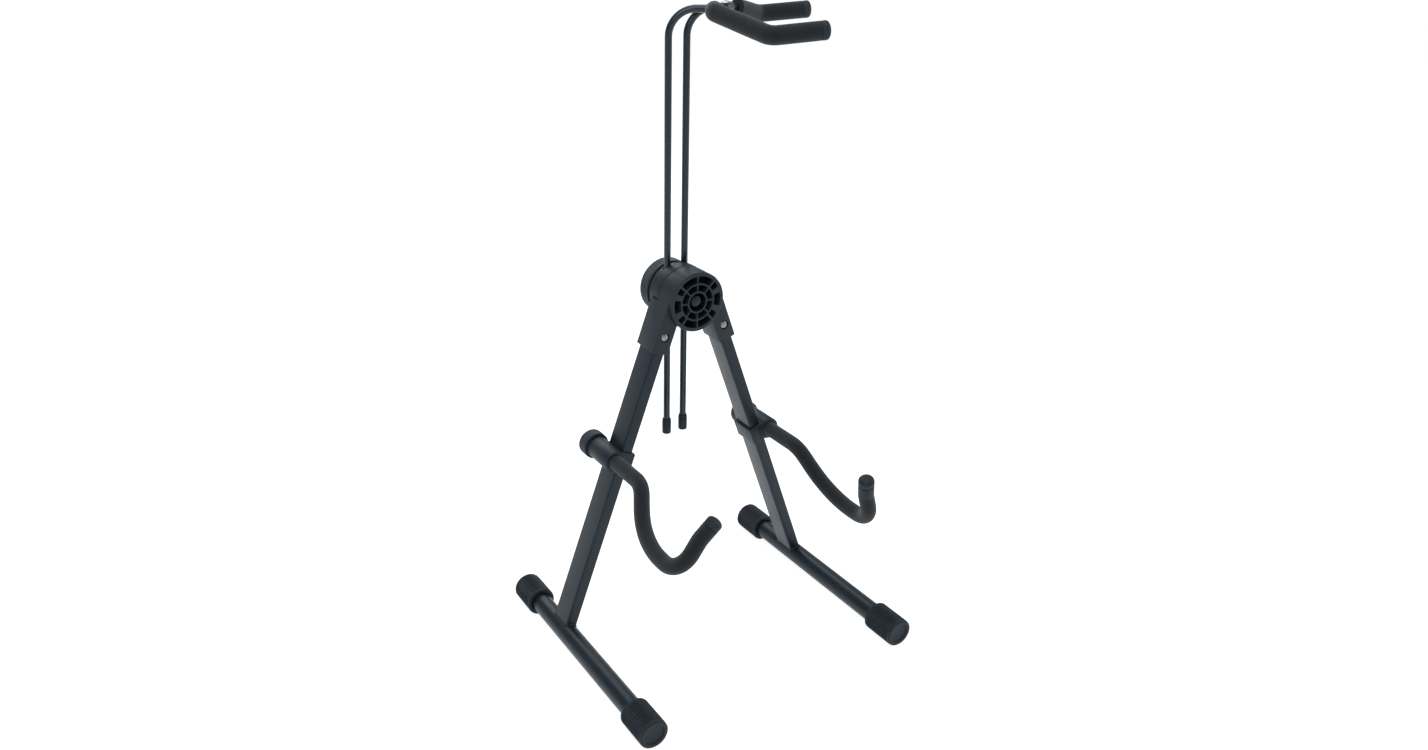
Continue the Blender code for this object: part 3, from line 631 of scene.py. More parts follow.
@dataclass
class HubBracket:
    """One drum of the hub with the socket that holds a leg."""

    side: Side
    layout: Layout
    radius: float = 35.4 * MM
    rim_round: float = 1.2 * MM
    front: float = -26.4 * MM
    front_drum_rear: float = 1.5 * MM
    rear_drum_front: float = 2.5 * MM
    rear: float = 17.2 * MM
    leg_offset: float = 24.1 * MM
    leg_half: float = 7.5 * MM
    leg_front: float = -18.4 * MM
    leg_rear: float = 13.6 * MM
    wall: float = 3.2 * MM
    rear_wall: float = 2.3 * MM
    inset: float = 0.3 * MM
    socket_low: float = -69 * MM
    leg_top: float = -34.5 * MM
    shoulder: float = 12 * MM
    fit: float = 0.3 * MM
    boss: float = 13.1 * MM
    ring: float = 22.5 * MM
    ring_wall: float = 1.9 * MM
    drum_wall: float = 4.4 * MM
    rib: float = 1.5 * MM
    web_depth: float = 15 * MM
    bolt_radius: float = 4.3 * MM
    head_room: float = 11.1 * MM
    head_depth: float = 5.5 * MM
    screw_drop: float = 49 * MM
    screw_room: float = 5.7 * MM
    outer_pockets: tuple[tuple[float, float], ...] = (
        (0, 44), (46, 64), (75, 109), (121, 139), (141, 180),
    )

    def drum(self) -> bmesh.types.BMesh:
        """The drum with a rounded front rim."""
        front_drum = self.side is Side.LEFT
        low = self.front if front_drum else self.rear_drum_front
        high = self.front_drum_rear if front_drum else self.rear
        edge = self.rim_round
        line = [(0, low), (self.radius - edge, low)]
        for index in range(1, 5):
            angle = math.radians(90 * index / 4)
            line.append((
                self.radius - edge + edge * math.sin(angle), low + edge - edge * math.cos(angle)
            ))
        line += [(self.radius, high - 0.4 * MM), (self.radius - 0.4 * MM, high), (0, high)]
        build = bmesh.new()
        turned(build, line, 144, along_y(self.layout.leg(self.side)))
        return build

    def socket(self) -> bmesh.types.BMesh:
        """The square socket, hollowed where the other drum turns beside it."""
        place = self.layout.leg(self.side)
        front_drum = self.side is Side.LEFT
        inner = self.side.value * (self.leg_offset - self.leg_half - self.wall)
        outer = self.side.value * (self.radius - self.inset)
        low, high = sorted((inner, outer))
        build = bmesh.new()
        slab(
            build, (low, self.leg_front - self.wall, self.socket_low),
            (high, self.leg_rear + self.fit + self.rear_wall, -2 * MM), place, 1.3 * MM,
        )
        if front_drum:
            room_span = self.front_drum_rear - 0.1 * MM, 2 * self.rear
            step_span = self.front_drum_rear + 0.1 * MM, 2 * self.rear
        else:
            room_span = 2 * self.front, self.rear_drum_front + 0.1 * MM
            step_span = 2 * self.front, self.rear_drum_front - 0.1 * MM
        room = bmesh.new()
        clear = self.radius + 2 * self.fit
        line = [(0, room_span[0]), (clear, room_span[0]), (clear, room_span[1]), (0, room_span[1])]
        turned(room, line, 144, along_y(place))
        step = bmesh.new()
        slab(
            step, (low - 2 * MM, step_span[0], -self.shoulder), (high + 2 * MM, step_span[1], MM),
            place,
        )
        return carved("socket", build, [("DIFFERENCE", room), ("DIFFERENCE", step)])

    def pocket(self, inner: float, outer: float, start: float, end: float) -> bmesh.types.BMesh:
        """A cutter for one pocket of the web, between two angles from the top."""
        trim = math.asin(self.rib / 2 / ((inner + outer) / 2))
        first, last = math.radians(start) + trim, math.radians(end) - trim
        build = bmesh.new()
        line = [build.verts.new((0, radius, 0)) for radius in (inner, outer)]
        edge = build.edges.new(line)
        bmesh.ops.rotate(build, verts=line, matrix=Matrix.Rotation(-first, 3, "Z"))
        bmesh.ops.spin(
            build, geom=[*line, edge], axis=(0, 0, -1), cent=(0, 0, 0),
            angle=last - first, steps=max(3, math.ceil((end - start) / 5)),
        )
        grown = bmesh.ops.extrude_face_region(build, geom=list(build.faces))["geom"]
        lifted = [item for item in grown if isinstance(item, bmesh.types.BMVert)]
        bmesh.ops.translate(build, verts=lifted, vec=(0, 0, -2 * self.web_depth))
        corners = [
            item for item in build.edges
            if abs(item.verts[0].co.z - item.verts[1].co.z) > MM
            and len(item.link_faces) == 2 and item.calc_face_angle() > math.radians(60)
        ]
        bmesh.ops.bevel(
            build, geom=corners, offset=0.9 * MM, affect="EDGES", segments=3, profile=0.5,
            material=-1,
        )
        place = self.layout.hub @ Matrix.Rotation(math.radians(90), 4, "X")
        lift = Matrix.Translation((0, 0, -self.front + self.web_depth))
        bmesh.ops.transform(build, matrix=place @ lift, verts=build.verts)
        return build

    def web(self) -> list[bmesh.types.BMesh]:
        """All the pockets of the front drum's face."""
        found = [
            self.pocket(self.boss, self.ring - self.ring_wall, 45 * index, 45 * index + 45)
            for index in range(8)
        ]
        for start, end in self.outer_pockets:
            for first, last in ((start, end), (360 - end, 360 - start)):
                found.append(self.pocket(self.ring, self.radius - self.drum_wall, first, last))
        return found

    def rod_hole(self, radius: float, low: float, high: float, place: Matrix) -> bmesh.types.BMesh:
        """A round cutter along Y."""
        build = bmesh.new()
        turned(build, [(0, low), (radius, low), (radius, high), (0, high)], 48, along_y(place))
        return build

    def make(self, bench: Bench) -> None:
        """Build the bracket and its screw."""
        place = self.layout.leg(self.side)
        leg_room = bmesh.new()
        middle = self.side.value * self.leg_offset
        half = self.leg_half + self.fit
        slab(
            leg_room, (middle - half, self.leg_front - self.fit, 2 * self.socket_low),
            (middle + half, self.leg_rear + self.fit, self.leg_top + self.fit), place,
        )
        bolt = self.rod_hole(self.bolt_radius, 2 * self.front, 2 * self.rear, place)
        screw_x = self.side.value * (self.leg_offset + MM)
        screw = place @ Matrix.Translation((screw_x, 0, -self.screw_drop))
        seat = self.leg_front - self.wall + 1.9 * MM
        recess = self.rod_hole(self.screw_room, 2 * self.front, seat, screw)
        tools = [("UNION", self.socket()), ("DIFFERENCE", leg_room), ("DIFFERENCE", bolt),
                 ("DIFFERENCE", recess)]
        if self.side is Side.LEFT:
            tools += [("DIFFERENCE", pocket) for pocket in self.web()]
            head = self.rod_hole(self.head_room, 2 * self.front, self.front + self.head_depth, place)
            tools.append(("DIFFERENCE", head))
        name = self.side.label + "_bracket"
        bench.piece(name + "_moulding", carved(name, self.drum(), tools), Slot.PLASTIC, name)
        self.make_screw(bench, screw, seat - self.fit)

    def make_screw(self, bench: Bench, place: Matrix, seat: float) -> None:
        """The bright domed screw that pins the leg."""
        head, tall = 4.5 * MM, 2.2 * MM
        line = [(0, self.rear), (2 * MM, self.rear), (2 * MM, seat), (head, seat), (head, seat - 0.5 * MM)]
        for index in range(1, 9):
            angle = math.radians(90 * index / 9)
            line.append((head * math.cos(angle), seat - 0.5 * MM - (tall - 0.5 * MM) * math.sin(angle)))
        line.append((0, seat - tall))
        build = bmesh.new()
        turned(build, line[::-1], 48, along_y(place))
        name = self.side.label + "_bracket_screw"
        bench.piece(name + "_turned", build, Slot.NICKEL, name)


@dataclass
class Hub:
    """The bolt, the block that clamps the neck rods, and the large knob behind."""

    layout: Layout
    bolt_radius: float = 4 * MM
    head_radius: float = 7 * MM
    head_seat: float = -21.2 * MM
    head_tall: float = 4 * MM
    bolt_end: float = 44 * MM
    block_radius: float = 32 * MM
    block_front: float = 20 * MM
    block_rear: float = 29.5 * MM
    rod_spread: float = 11.6 * MM
    groove_depth: float = 26.3 * MM
    groove_half: float = 4.3 * MM
    washer: tuple[float, float] = (29.8 * MM, 31.0 * MM)
    knob_radius: float = 33.5 * MM
    knob_front: float = 31.3 * MM
    knob_long: float = 17.5 * MM
    knurls: int = 84

    def make(self, bench: Bench) -> None:
        """Build the fixed pieces and the knob."""
        place = along_y(self.layout.hub)
        seat, head, tall = self.head_seat, self.head_radius, self.head_tall
        bolt = bmesh.new()
        line = [(0, seat - tall)]
        for index in range(1, 10):
            angle = math.radians(10 * index)
            line.append((head * math.sin(angle), seat - 0.3 * tall - 0.7 * tall * math.cos(angle)))
        line += [
            (head, seat), (self.bolt_radius, seat), (self.bolt_radius, self.bolt_end - 0.8 * MM),
            (3.4 * MM, self.bolt_end), (0, self.bolt_end),
        ]
        turned(bolt, line, 64, place)
        bench.piece("hub_bolt_turned", bolt, Slot.STEEL, "hub_bolt")
        washer = bmesh.new()
        low, high = self.washer
        turned(washer, [(4.3 * MM, low), (14 * MM, low), (14 * MM, high), (4.3 * MM, high)], 64, place)
        bench.piece("hub_knob_washer_turned", washer, Slot.NICKEL, "hub_knob_washer")
        self.make_block(bench, place)
        HandKnob("hub_knob", self.layout.hub, self.knob_radius, self.knob_front, self.knob_long,
                 self.knurls).make(bench)

    def make_block(self, bench: Bench, place: Matrix) -> None:
        """The block whose two grooves hold the neck rods."""
        edge = 1.0 * MM
        radius, low, high = self.block_radius, self.block_front, self.block_rear
        build = bmesh.new()
        line = [
            (0, low), (radius - edge, low), (radius - 0.3 * edge, low + 0.3 * edge),
            (radius, low + edge), (radius, high - edge), (radius - 0.3 * edge, high - 0.3 * edge),
            (radius - edge, high), (0, high),
        ]
        turned(build, line, 128, place)
        bore = bmesh.new()
        turned(bore, [(0, 0), (4.3 * MM, 0), (4.3 * MM, 2 * high), (0, 2 * high)], 48, place)
        tools = [("DIFFERENCE", bore)]
        for side in Side:
            groove = bmesh.new()
            middle = side.value * self.rod_spread
            slab(
                groove, (middle - self.groove_half, 0, -2 * radius),
                (middle + self.groove_half, self.groove_depth, 2 * radius), self.layout.hub,
            )
            tools.append(("DIFFERENCE", groove))
        shape = carved("block", build, tools)
        bench.piece("rod_clamp_block_moulding", shape, Slot.PLASTIC, "rod_clamp_block")


@dataclass
class HandKnob:
    """A knurled plastic knob, hollow at its front and dished at its back."""

    node: str
    place: Matrix
    radius: float
    front: float
    long: float
    knurls: int
    knurl_deep: float = 0.55 * MM
    nest: float = 8.0 * MM

    def make(self, bench: Bench) -> None:
        """Build the knob."""
        axis = along_y(self.place)
        edge, radius = 1.8 * MM, self.radius
        low, high = self.front, self.front + self.long
        nest_end = low + 7.2 * MM
        dish = high - 1.5 * MM
        line = [(0, nest_end), (self.nest, nest_end), (self.nest, low), (radius - edge, low)]
        for index in range(1, 5):
            angle = math.radians(22.5 * index)
            line.append((radius - edge + edge * math.sin(angle), low + edge - edge * math.cos(angle)))
        line += [(radius, height) for height in spaced(low + 2 * edge, high - 2 * edge, 1.5 * MM)]
        for index in range(0, 5):
            angle = math.radians(22.5 * index)
            line.append((radius - edge + edge * math.cos(angle), high - edge + edge * math.sin(angle)))
        line += [
            (0.80 * radius, high), (0.775 * radius, high - 0.4 * MM), (0.76 * radius, dish),
            (0.72 * radius, dish - 0.1 * MM), (0.2 * radius, dish + 0.25 * MM), (0, dish + 0.3 * MM),
        ]
        build = bmesh.new()
        turned(build, line, self.knurls * 6, axis)
        grip = low + edge, high - edge

        def reach(height: float, _angle: float) -> float:
            """Full depth along the grip, fading out at its ends."""
            inside = min(height - grip[0], grip[1] - height) / (1.2 * MM)
            return max(0.0, min(1.0, 0.5 + inside))

        flute(build, axis, radius - 1.2 * MM, self.knurls, self.knurl_deep, reach)
        bench.piece(self.node + "_moulding", build, Slot.PLASTIC, self.node)


# --------------------------------------------------------------------------- legs and feet


@dataclass
class Leg:
    """A rectangular steel tube with rounded edges, coped over the foot tube."""

    side: Side
    layout: Layout
    offset: float = 24.1 * MM
    half: tuple[float, float] = (7.5 * MM, 16 * MM)
    setback: float = -2.4 * MM
    corner: float = 2.0 * MM
    tube_wall: float = 1.5 * MM
    top: float = -34.5 * MM
    foot: float = -438.6 * MM
    foot_radius: float = 12.6 * MM

    def bar(self, inset: float, top: float) -> bmesh.types.BMesh:
        """The tube's outside, or its inside when inset by the wall."""
        middle = self.side.value * self.offset
        half_x, half_y = self.half[0] - inset, self.half[1] - inset
        place = self.layout.leg(self.side) @ Matrix.Translation((middle, self.setback, 0))
        build = bmesh.new()
        low, high = Vector((-half_x, -half_y, self.foot)), Vector((half_x, half_y, top))
        size = Matrix.Diagonal((*(high - low), 1))
        shape = place @ Matrix.Translation((low + high) / 2) @ size
        bmesh.ops.create_cube(build, size=1, matrix=shape)
        long = [edge for edge in build.edges if edge.calc_length() > 2 * self.half[1] + MM]
        bmesh.ops.bevel(
            build, geom=long, offset=max(self.corner - inset, 0.4 * MM), affect="EDGES", segments=6,
            profile=0.5, material=-1,
        )
        return build

    def make(self, bench: Bench) -> None:
        """Build the tube."""
        middle = self.side.value * self.offset
        axis = self.layout.leg(self.side) @ Matrix.Translation((middle, 0, self.foot))
        cope = bmesh.new()
        long = 3 * self.half[1]
        turned(
            cope, [(0, -long), (self.foot_radius, -long), (self.foot_radius, long), (0, long)], 96,
            along_y(axis),
        )
        tools = [("DIFFERENCE", self.bar(self.tube_wall, self.top + MM)), ("DIFFERENCE", cope)]
        name = self.side.label + "_leg"
        shape = carved(name, self.bar(0, self.top), tools)
        bench.piece(name + "_tube", shape, Slot.STEEL, name, sharp=40)



@dataclass
class Foot:
    """A round foot tube with a ribbed rubber cap on each end and a weld to the leg."""

    side: Side
    layout: Layout
    tube_radius: float = 12.5 * MM
    tube_wall: float = 1.5 * MM
    cap_radius: float = 18 * MM
    cap_flat: float = 17 * MM
    cap_end: float = 5 * MM
    mouth: float = 13.1 * MM
    ribs: int = 34
    rib_deep: float = 1.3 * MM
    bead: float = 1.3 * MM
    leg_half: tuple[float, float] = (7.5 * MM, 16 * MM)
    leg_setback: float = -2.4 * MM

    @property
    def axis(self) -> tuple[float, float]:
        """The foot tube's X and Z."""
        low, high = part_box(self.side.label + "_foot_tube")
        return (low.x + high.x) / 2, (low.z + high.z) / 2

    def frame(self, y: float, forward: bool) -> Matrix:
        """A frame at Y whose local Z runs into the cap, to the rear or to the front."""
        turn = Matrix.Rotation(math.radians(-90 if forward else 90), 4, "X")
        return Matrix.Translation((self.axis[0], y, self.axis[1])) @ turn

    def make(self, bench: Bench) -> None:
        """Build the tube, the caps and the weld."""
        name = self.side.label + "_foot_tube"
        low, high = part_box(name)
        outer, inner = self.tube_radius, self.tube_radius - self.tube_wall
        long = high.y - low.y
        tube = bmesh.new()
        turned(tube, [(inner, 0), (outer, 0), (outer, long), (inner, long)], 96, self.frame(low.y, True))
        bench.piece(name + "_drawn", tube, Slot.STEEL, name)
        for end in ("front", "rear"):
            self.make_cap(bench, end)
        self.make_weld(bench)

    def make_cap(self, bench: Bench, end: str) -> None:
        """One cap, with a flat below, ribs round it and a plain strip low on the outside."""
        name = f"{self.side.label}_{end}_foot_cap"
        low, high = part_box(name)
        front = end == "front"
        place = self.frame(low.y if front else high.y, front)
        long, radius, mouth = high.y - low.y, self.cap_radius, self.mouth
        if front:
            face = [(0, 1.5 * MM), (11.4 * MM, 1.5 * MM), (12.0 * MM, 1.3 * MM), (12.4 * MM, 0.2 * MM),
                    (12.9 * MM, 0), (15.6 * MM, 0), (16.8 * MM, 0.35 * MM), (17.6 * MM, 1.1 * MM)]
        else:
            face = [(0, 0), (12 * MM, 0), (14.5 * MM, 0.3 * MM), (16.2 * MM, 1.1 * MM),
                    (17.4 * MM, 2.4 * MM)]
        line = [*face, *((radius, height) for height in spaced(3.4 * MM, long - 1.6 * MM, 2 * MM))]
        line += [
            (radius - 0.3 * MM, long - 0.6 * MM), (radius - 1.1 * MM, long), (mouth + 0.5 * MM, long),
            (mouth, long - 0.6 * MM), (mouth, self.cap_end), (0, self.cap_end),
        ]
        build = bmesh.new()
        turned(build, line, self.ribs * 8, place)
        world_out = Vector((self.side.value * 0.95, 0, -0.55)).normalized()
        local = place.to_3x3().inverted() @ world_out
        plain = math.atan2(local.y, local.x)

        def reach(height: float, angle: float) -> float:
            """Ribs run between the cap's ends and fade at the plain strip."""
            away = abs((angle - plain + math.pi) % FULL_TURN - math.pi)
            along = min(height - 2.6 * MM, long - 2.4 * MM - height) / (1.5 * MM)
            beside = (away - math.radians(20)) / math.radians(3)
            return max(0.0, min(1.0, along)) * max(0.0, min(1.0, beside))

        flute(build, place, radius - 1.3 * MM, self.ribs, self.rib_deep, reach)
        floor = self.axis[1] - self.cap_flat
        cut = bmesh.ops.bisect_plane(
            build, geom=[*build.verts, *build.edges, *build.faces], plane_co=(0, 0, floor),
            plane_no=(0, 0, -1), clear_outer=True,
        )["geom_cut"]
        edges = [item for item in cut if isinstance(item, bmesh.types.BMEdge)]
        bmesh.ops.edgenet_fill(build, edges=edges)
        bench.piece(name + "_moulding", build, Slot.RUBBER, name)

    def make_weld(self, bench: Bench) -> None:
        """The weld bead where the leg's end meets the foot tube."""
        lean = self.layout.lean(self.side)
        leg = self.layout.leg(self.side)
        x, z = self.axis
        half_x, half_y = self.leg_half
        base = Vector((x, leg.translation.y + self.leg_setback, z))
        across = Vector((math.cos(lean), 0, self.side.value * math.sin(lean)))
        up = Vector((-self.side.value * math.sin(lean), 0, math.cos(lean)))
        radius = self.tube_radius + 0.2 * MM
        corner = 2.2 * MM
        outline = []
        for sign_x, sign_y, start in ((1, 1, 0), (-1, 1, 90), (-1, -1, 180), (1, -1, 270)):
            for step in range(0, 91, 15):
                angle = math.radians(start + step)
                outline.append((
                    sign_x * (half_x - corner) + corner * math.cos(angle),
                    sign_y * (half_y - corner) + corner * math.sin(angle),
                ))
        dense = []
        for index, point in enumerate(outline):
            after = outline[(index + 1) % len(outline)]
            count = max(1, math.ceil(math.dist(point, after) / (1.2 * MM)))
            for share in range(count):
                part = share / count
                dense.append((
                    point[0] + (after[0] - point[0]) * part, point[1] + (after[1] - point[1]) * part
                ))
        path = []
        for u, v in dense:
            rise = math.sqrt(max(radius ** 2 - u ** 2, 0))
            path.append(base + across * u + Vector((0, v, 0)) + up * rise)
        path += path[:2]
        radii = [
            self.bead * (0.92 + 0.16 * math.sin(index * 1.9) + 0.10 * noise.noise(point * 400))
            for index, point in enumerate(path)
        ]
        build = bmesh.new()
        swept(build, path, radii, 10)
        name = self.side.label + "_foot_weld"
        bench.piece(name, build, Slot.STEEL, body=self.side.label + "_leg", sharp=60)


# --------------------------------------------------------------------------- rods and foam


@dataclass
class Grip:
    """A foam sleeve on a rod, and the rounded cap that closes its end."""

    node: str
    radius: float
    rod_radius: float = 4 * MM
    cap_long: float = 5 * MM
    cap_dome: float = 5 * MM
    edge: float = 0.9 * MM

    def make(self, bench: Bench, path: Sequence[Vector], start: float) -> None:
        """Build the sleeve from a length along the path to its end, and the cap."""
        total = length_of(path)
        end = total - self.cap_long
        radius, edge = self.radius, self.edge
        places = [start, start + 0.25 * edge, start + edge]
        sizes = [radius - edge, radius - 0.3 * edge, radius]
        middle = spaced(start + 2 * edge, end - edge, 2.2 * MM)
        for where in middle:
            swell = noise.noise(Vector((where * 45, radius * 900, 0.3)))
            sizes.append(radius * (1 + 0.008 * swell))
        places += middle
        places += [end - 0.25 * edge, end]
        sizes += [radius - 0.2 * edge, radius - 0.7 * edge]
        build = bmesh.new()
        swept(build, stations(path, places), sizes, 40)
        foam = bench.piece(self.node + "_foam_sleeve", build, Slot.FOAM, self.node + "_foam", sharp=50)
        self.make_cap(bench, path, end, total)

    def make_cap(self, bench: Bench, path: Sequence[Vector], end: float, total: float) -> None:
        """The domed cap, a little smaller than the foam where they meet."""
        radius = self.radius
        places = [end + 0.25 * MM, end + 0.4 * MM, end + 1.0 * MM, total - 0.5 * MM]
        sizes = [radius - 0.9 * MM, radius - 0.35 * MM, radius, radius]
        for index in range(0, 9):
            angle = math.radians(10 * index + 5)
            places.append(total + self.cap_dome * math.sin(angle))
            sizes.append(radius * math.cos(angle) ** 0.85)
        places.append(total + self.cap_dome)
        sizes.append(0.0)
        build = bmesh.new()
        swept(build, stations(path, places), sizes, 40)
        bench.piece(self.node + "_tip_cap_moulding", build, Slot.RUBBER, self.node + "_tip_cap", sharp=50)


@dataclass
class NeckRod:
    """One of the two rods that slide in the hub and fork into the yoke."""

    side: Side
    layout: Layout
    spread: float = 11.6 * MM
    setback: float = 22 * MM
    top: float = 314.5 * MM
    bottom: float = 184.7 * MM
    cap_wall: float = 2.3 * MM
    crown: float = 29 * MM
    reach: float = 48 * MM
    fork: tuple[float, float] = (33.5 * MM, math.radians(92))
    prong: tuple[float, float, float] = (77 * MM, math.radians(44.5), math.radians(-12.5))
    tip: tuple[float, float, float] = (56 * MM, math.radians(-7.5), math.radians(5))
    bends: tuple[float, ...] = (29 * MM, 10 * MM, 10 * MM, 15 * MM)
    foam_radius: float = 9.6 * MM
    rod_radius: float = 4 * MM
    end_cap: tuple[float, float] = (5.5 * MM, 20 * MM)
    yaw: dict[Side, float] = field(
        default_factory=lambda: {Side.LEFT: math.radians(59), Side.RIGHT: math.radians(69)}
    )
    foam_start: dict[Side, float] = field(
        default_factory=lambda: {Side.LEFT: 13 * MM, Side.RIGHT: 56 * MM}
    )

    def path(self) -> list[Vector]:
        """The rod's centre line in place."""
        spread = *self.fork, 0.0
        crown = Vector((0, 0, self.top))
        corners = [Vector((0, 0, self.cap_wall - self.bottom)), crown]
        corners.append(crown + Vector((0, -self.reach, 0)))
        for long, out, pitch in (spread, self.prong, self.tip):
            corners.append(corners[-1] + Vector((
                self.side.value * long * math.sin(out) * math.cos(pitch),
                -long * math.cos(out) * math.cos(pitch),
                long * math.sin(pitch),
            )))
        turn = Matrix.Rotation(self.yaw[self.side], 4, "Z")
        shift = Matrix.Translation((self.side.value * self.spread, self.setback, 0))
        place = self.layout.hub @ shift @ turn
        return [place @ point for point in rounded(corners, self.bends)]

    def make(self, bench: Bench) -> None:
        """Build the rod, its foam and its lower cap."""
        name = self.side.label + "_neck"
        path = self.path()
        rod = bmesh.new()
        swept(rod, path, [self.rod_radius] * len(path), 32)
        bench.piece(name + "_rod_bent", rod, Slot.ROD, name + "_rod")
        straight = self.top + self.bottom - self.cap_wall - self.crown
        start = straight + math.pi / 2 * self.crown + self.reach - self.crown + self.foam_start[self.side]
        Grip(name, self.foam_radius).make(bench, path, start)
        low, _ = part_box(name + "_end_cap")
        radius, long = self.end_cap
        line = [(0, 0), (radius - 1.3 * MM, 0), (radius - 0.4 * MM, 0.4 * MM), (radius, 1.3 * MM)]
        line += [(radius, long - 3 * MM), (radius - 0.25 * MM, long - 2.6 * MM),
                 (radius - 0.25 * MM, long - 0.5 * MM), (radius - 0.6 * MM, long),
                 (4.3 * MM, long), (4.3 * MM, 2 * MM), (0, 2 * MM)]
        cap = bmesh.new()
        foot = Matrix.Translation((path[0].x, path[0].y, low.z))
        turned(cap, line, 48, foot)
        bench.piece(name + "_end_cap_moulding", cap, Slot.RUBBER, name + "_end_cap")


@dataclass
class Arm:
    """A clamp on a leg and the hooked, foam-covered arm that turns in its barrel."""

    side: Side
    layout: Layout
    clamp_out: float = 15 * MM
    leg_half: float = 7.9 * MM
    clamp_wall: float = 3.1 * MM
    clamp_front: float = -21.9 * MM
    clamp_rear: float = 16.2 * MM
    slot_front: float = -18.8 * MM
    slot_rear: float = 14.0 * MM
    clamp_half: float = 12 * MM
    barrel: tuple[float, float, float] = (13.5 * MM, -24 * MM, 22 * MM)
    washer: tuple[float, float] = (22.3 * MM, 23.5 * MM)
    rod_radius: float = 4 * MM
    foam_radius: float = 9.2 * MM
    rear: float = 36 * MM
    straight: float = 84 * MM
    slope: float = 50 * MM
    dip: float = 49 * MM
    trough: float = 76 * MM
    hook: float = 44 * MM
    tip: tuple[float, float] = (6 * MM, 24 * MM)
    bends: tuple[float, ...] = (32 * MM, 100 * MM, 28 * MM, 20 * MM)
    foam_front: float = -23.3 * MM
    knob: tuple[float, float, float] = (16.5 * MM, 23.8 * MM, 16 * MM)
    swivel: dict[Side, float] = field(
        default_factory=lambda: {Side.LEFT: math.radians(15.1), Side.RIGHT: math.radians(-3.8)}
    )

    def path(self, place: Matrix) -> list[Vector]:
        """The arm's centre line in place, from its threaded end to its tip."""
        trough_end = self.straight + self.slope + self.trough
        tip_out, tip_up = self.tip
        corners = [
            (0, self.rear, 0), (0, -self.straight, 0), (0, -self.straight - self.slope, -self.dip),
            (0, -trough_end, -self.dip), (0, -trough_end, self.hook - self.dip),
            (0, -trough_end - tip_out, self.hook - self.dip + tip_up),
        ]
        return [place @ point for point in rounded(corners, self.bends)]

    def make(self, bench: Bench) -> None:
        """Build the clamp, then the arm with its foam and knob."""
        name = self.side.label
        clamp = self.layout.clamp(self.side)
        self.make_clamp(bench, clamp)
        arm = clamp @ Matrix.Rotation(-self.side.value * self.swivel[self.side], 4, "Y")
        path = self.path(arm)
        rod = bmesh.new()
        swept(rod, path, [self.rod_radius] * len(path), 32)
        bench.piece(name + "_arm_rod_bent", rod, Slot.ROD, name + "_arm_rod")
        Grip(name + "_arm", self.foam_radius).make(bench, path, self.rear - self.foam_front)
        radius, front, long = self.knob
        HandKnob(name + "_arm_knob", arm, radius, front, long, 36).make(bench)

    def make_clamp(self, bench: Bench, place: Matrix) -> None:
        """The sleeve round the leg, with the barrel and its washer."""
        name = self.side.label
        middle = -self.side.value * self.clamp_out
        skin = self.leg_half + self.clamp_wall - 0.4 * MM
        sleeve = bmesh.new()
        slab(
            sleeve, (middle - skin, self.clamp_front, -self.clamp_half),
            (middle + skin, self.clamp_rear, self.clamp_half), place, 1.8 * MM,
        )
        radius, low, high = self.barrel
        edge = 1.2 * MM
        line = [(0, low), (radius - edge, low), (radius - 0.35 * edge, low + 0.3 * edge),
                (radius, low + edge), (radius, high - edge), (radius - 0.35 * edge, high - 0.3 * edge),
                (radius - edge, high), (0, high)]
        barrel = bmesh.new()
        turned(barrel, line, 72, along_y(place))
        slot = bmesh.new()
        slab(
            slot, (middle - self.leg_half, self.slot_front, -3 * self.clamp_half),
            (middle + self.leg_half, self.slot_rear, 3 * self.clamp_half), place,
        )
        bore = bmesh.new()
        turned(bore, [(0, 2 * low), (4.3 * MM, 2 * low), (4.3 * MM, 2 * high), (0, 2 * high)], 48,
               along_y(place))
        mouth = bmesh.new()
        seat, room = low + 3.3 * MM, self.foam_radius + 0.6 * MM
        turned(mouth, [(0, 2 * low), (room, 2 * low), (room, seat), (0, seat)], 48, along_y(place))
        tools = [("UNION", barrel), ("DIFFERENCE", slot), ("DIFFERENCE", bore), ("DIFFERENCE", mouth)]
        node = name + "_leg_clamp"
        bench.piece(node + "_moulding", carved(node, sleeve, tools), Slot.PLASTIC, node)
        front, rear = self.washer
        ring = bmesh.new()
        turned(ring, [(4.3 * MM, front), (8 * MM, front), (8 * MM, rear), (4.3 * MM, rear)], 48,
               along_y(place))
        bench.piece(name + "_arm_washer_turned", ring, Slot.NICKEL, name + "_arm_washer")


# --------------------------------------------------------------------------- studio


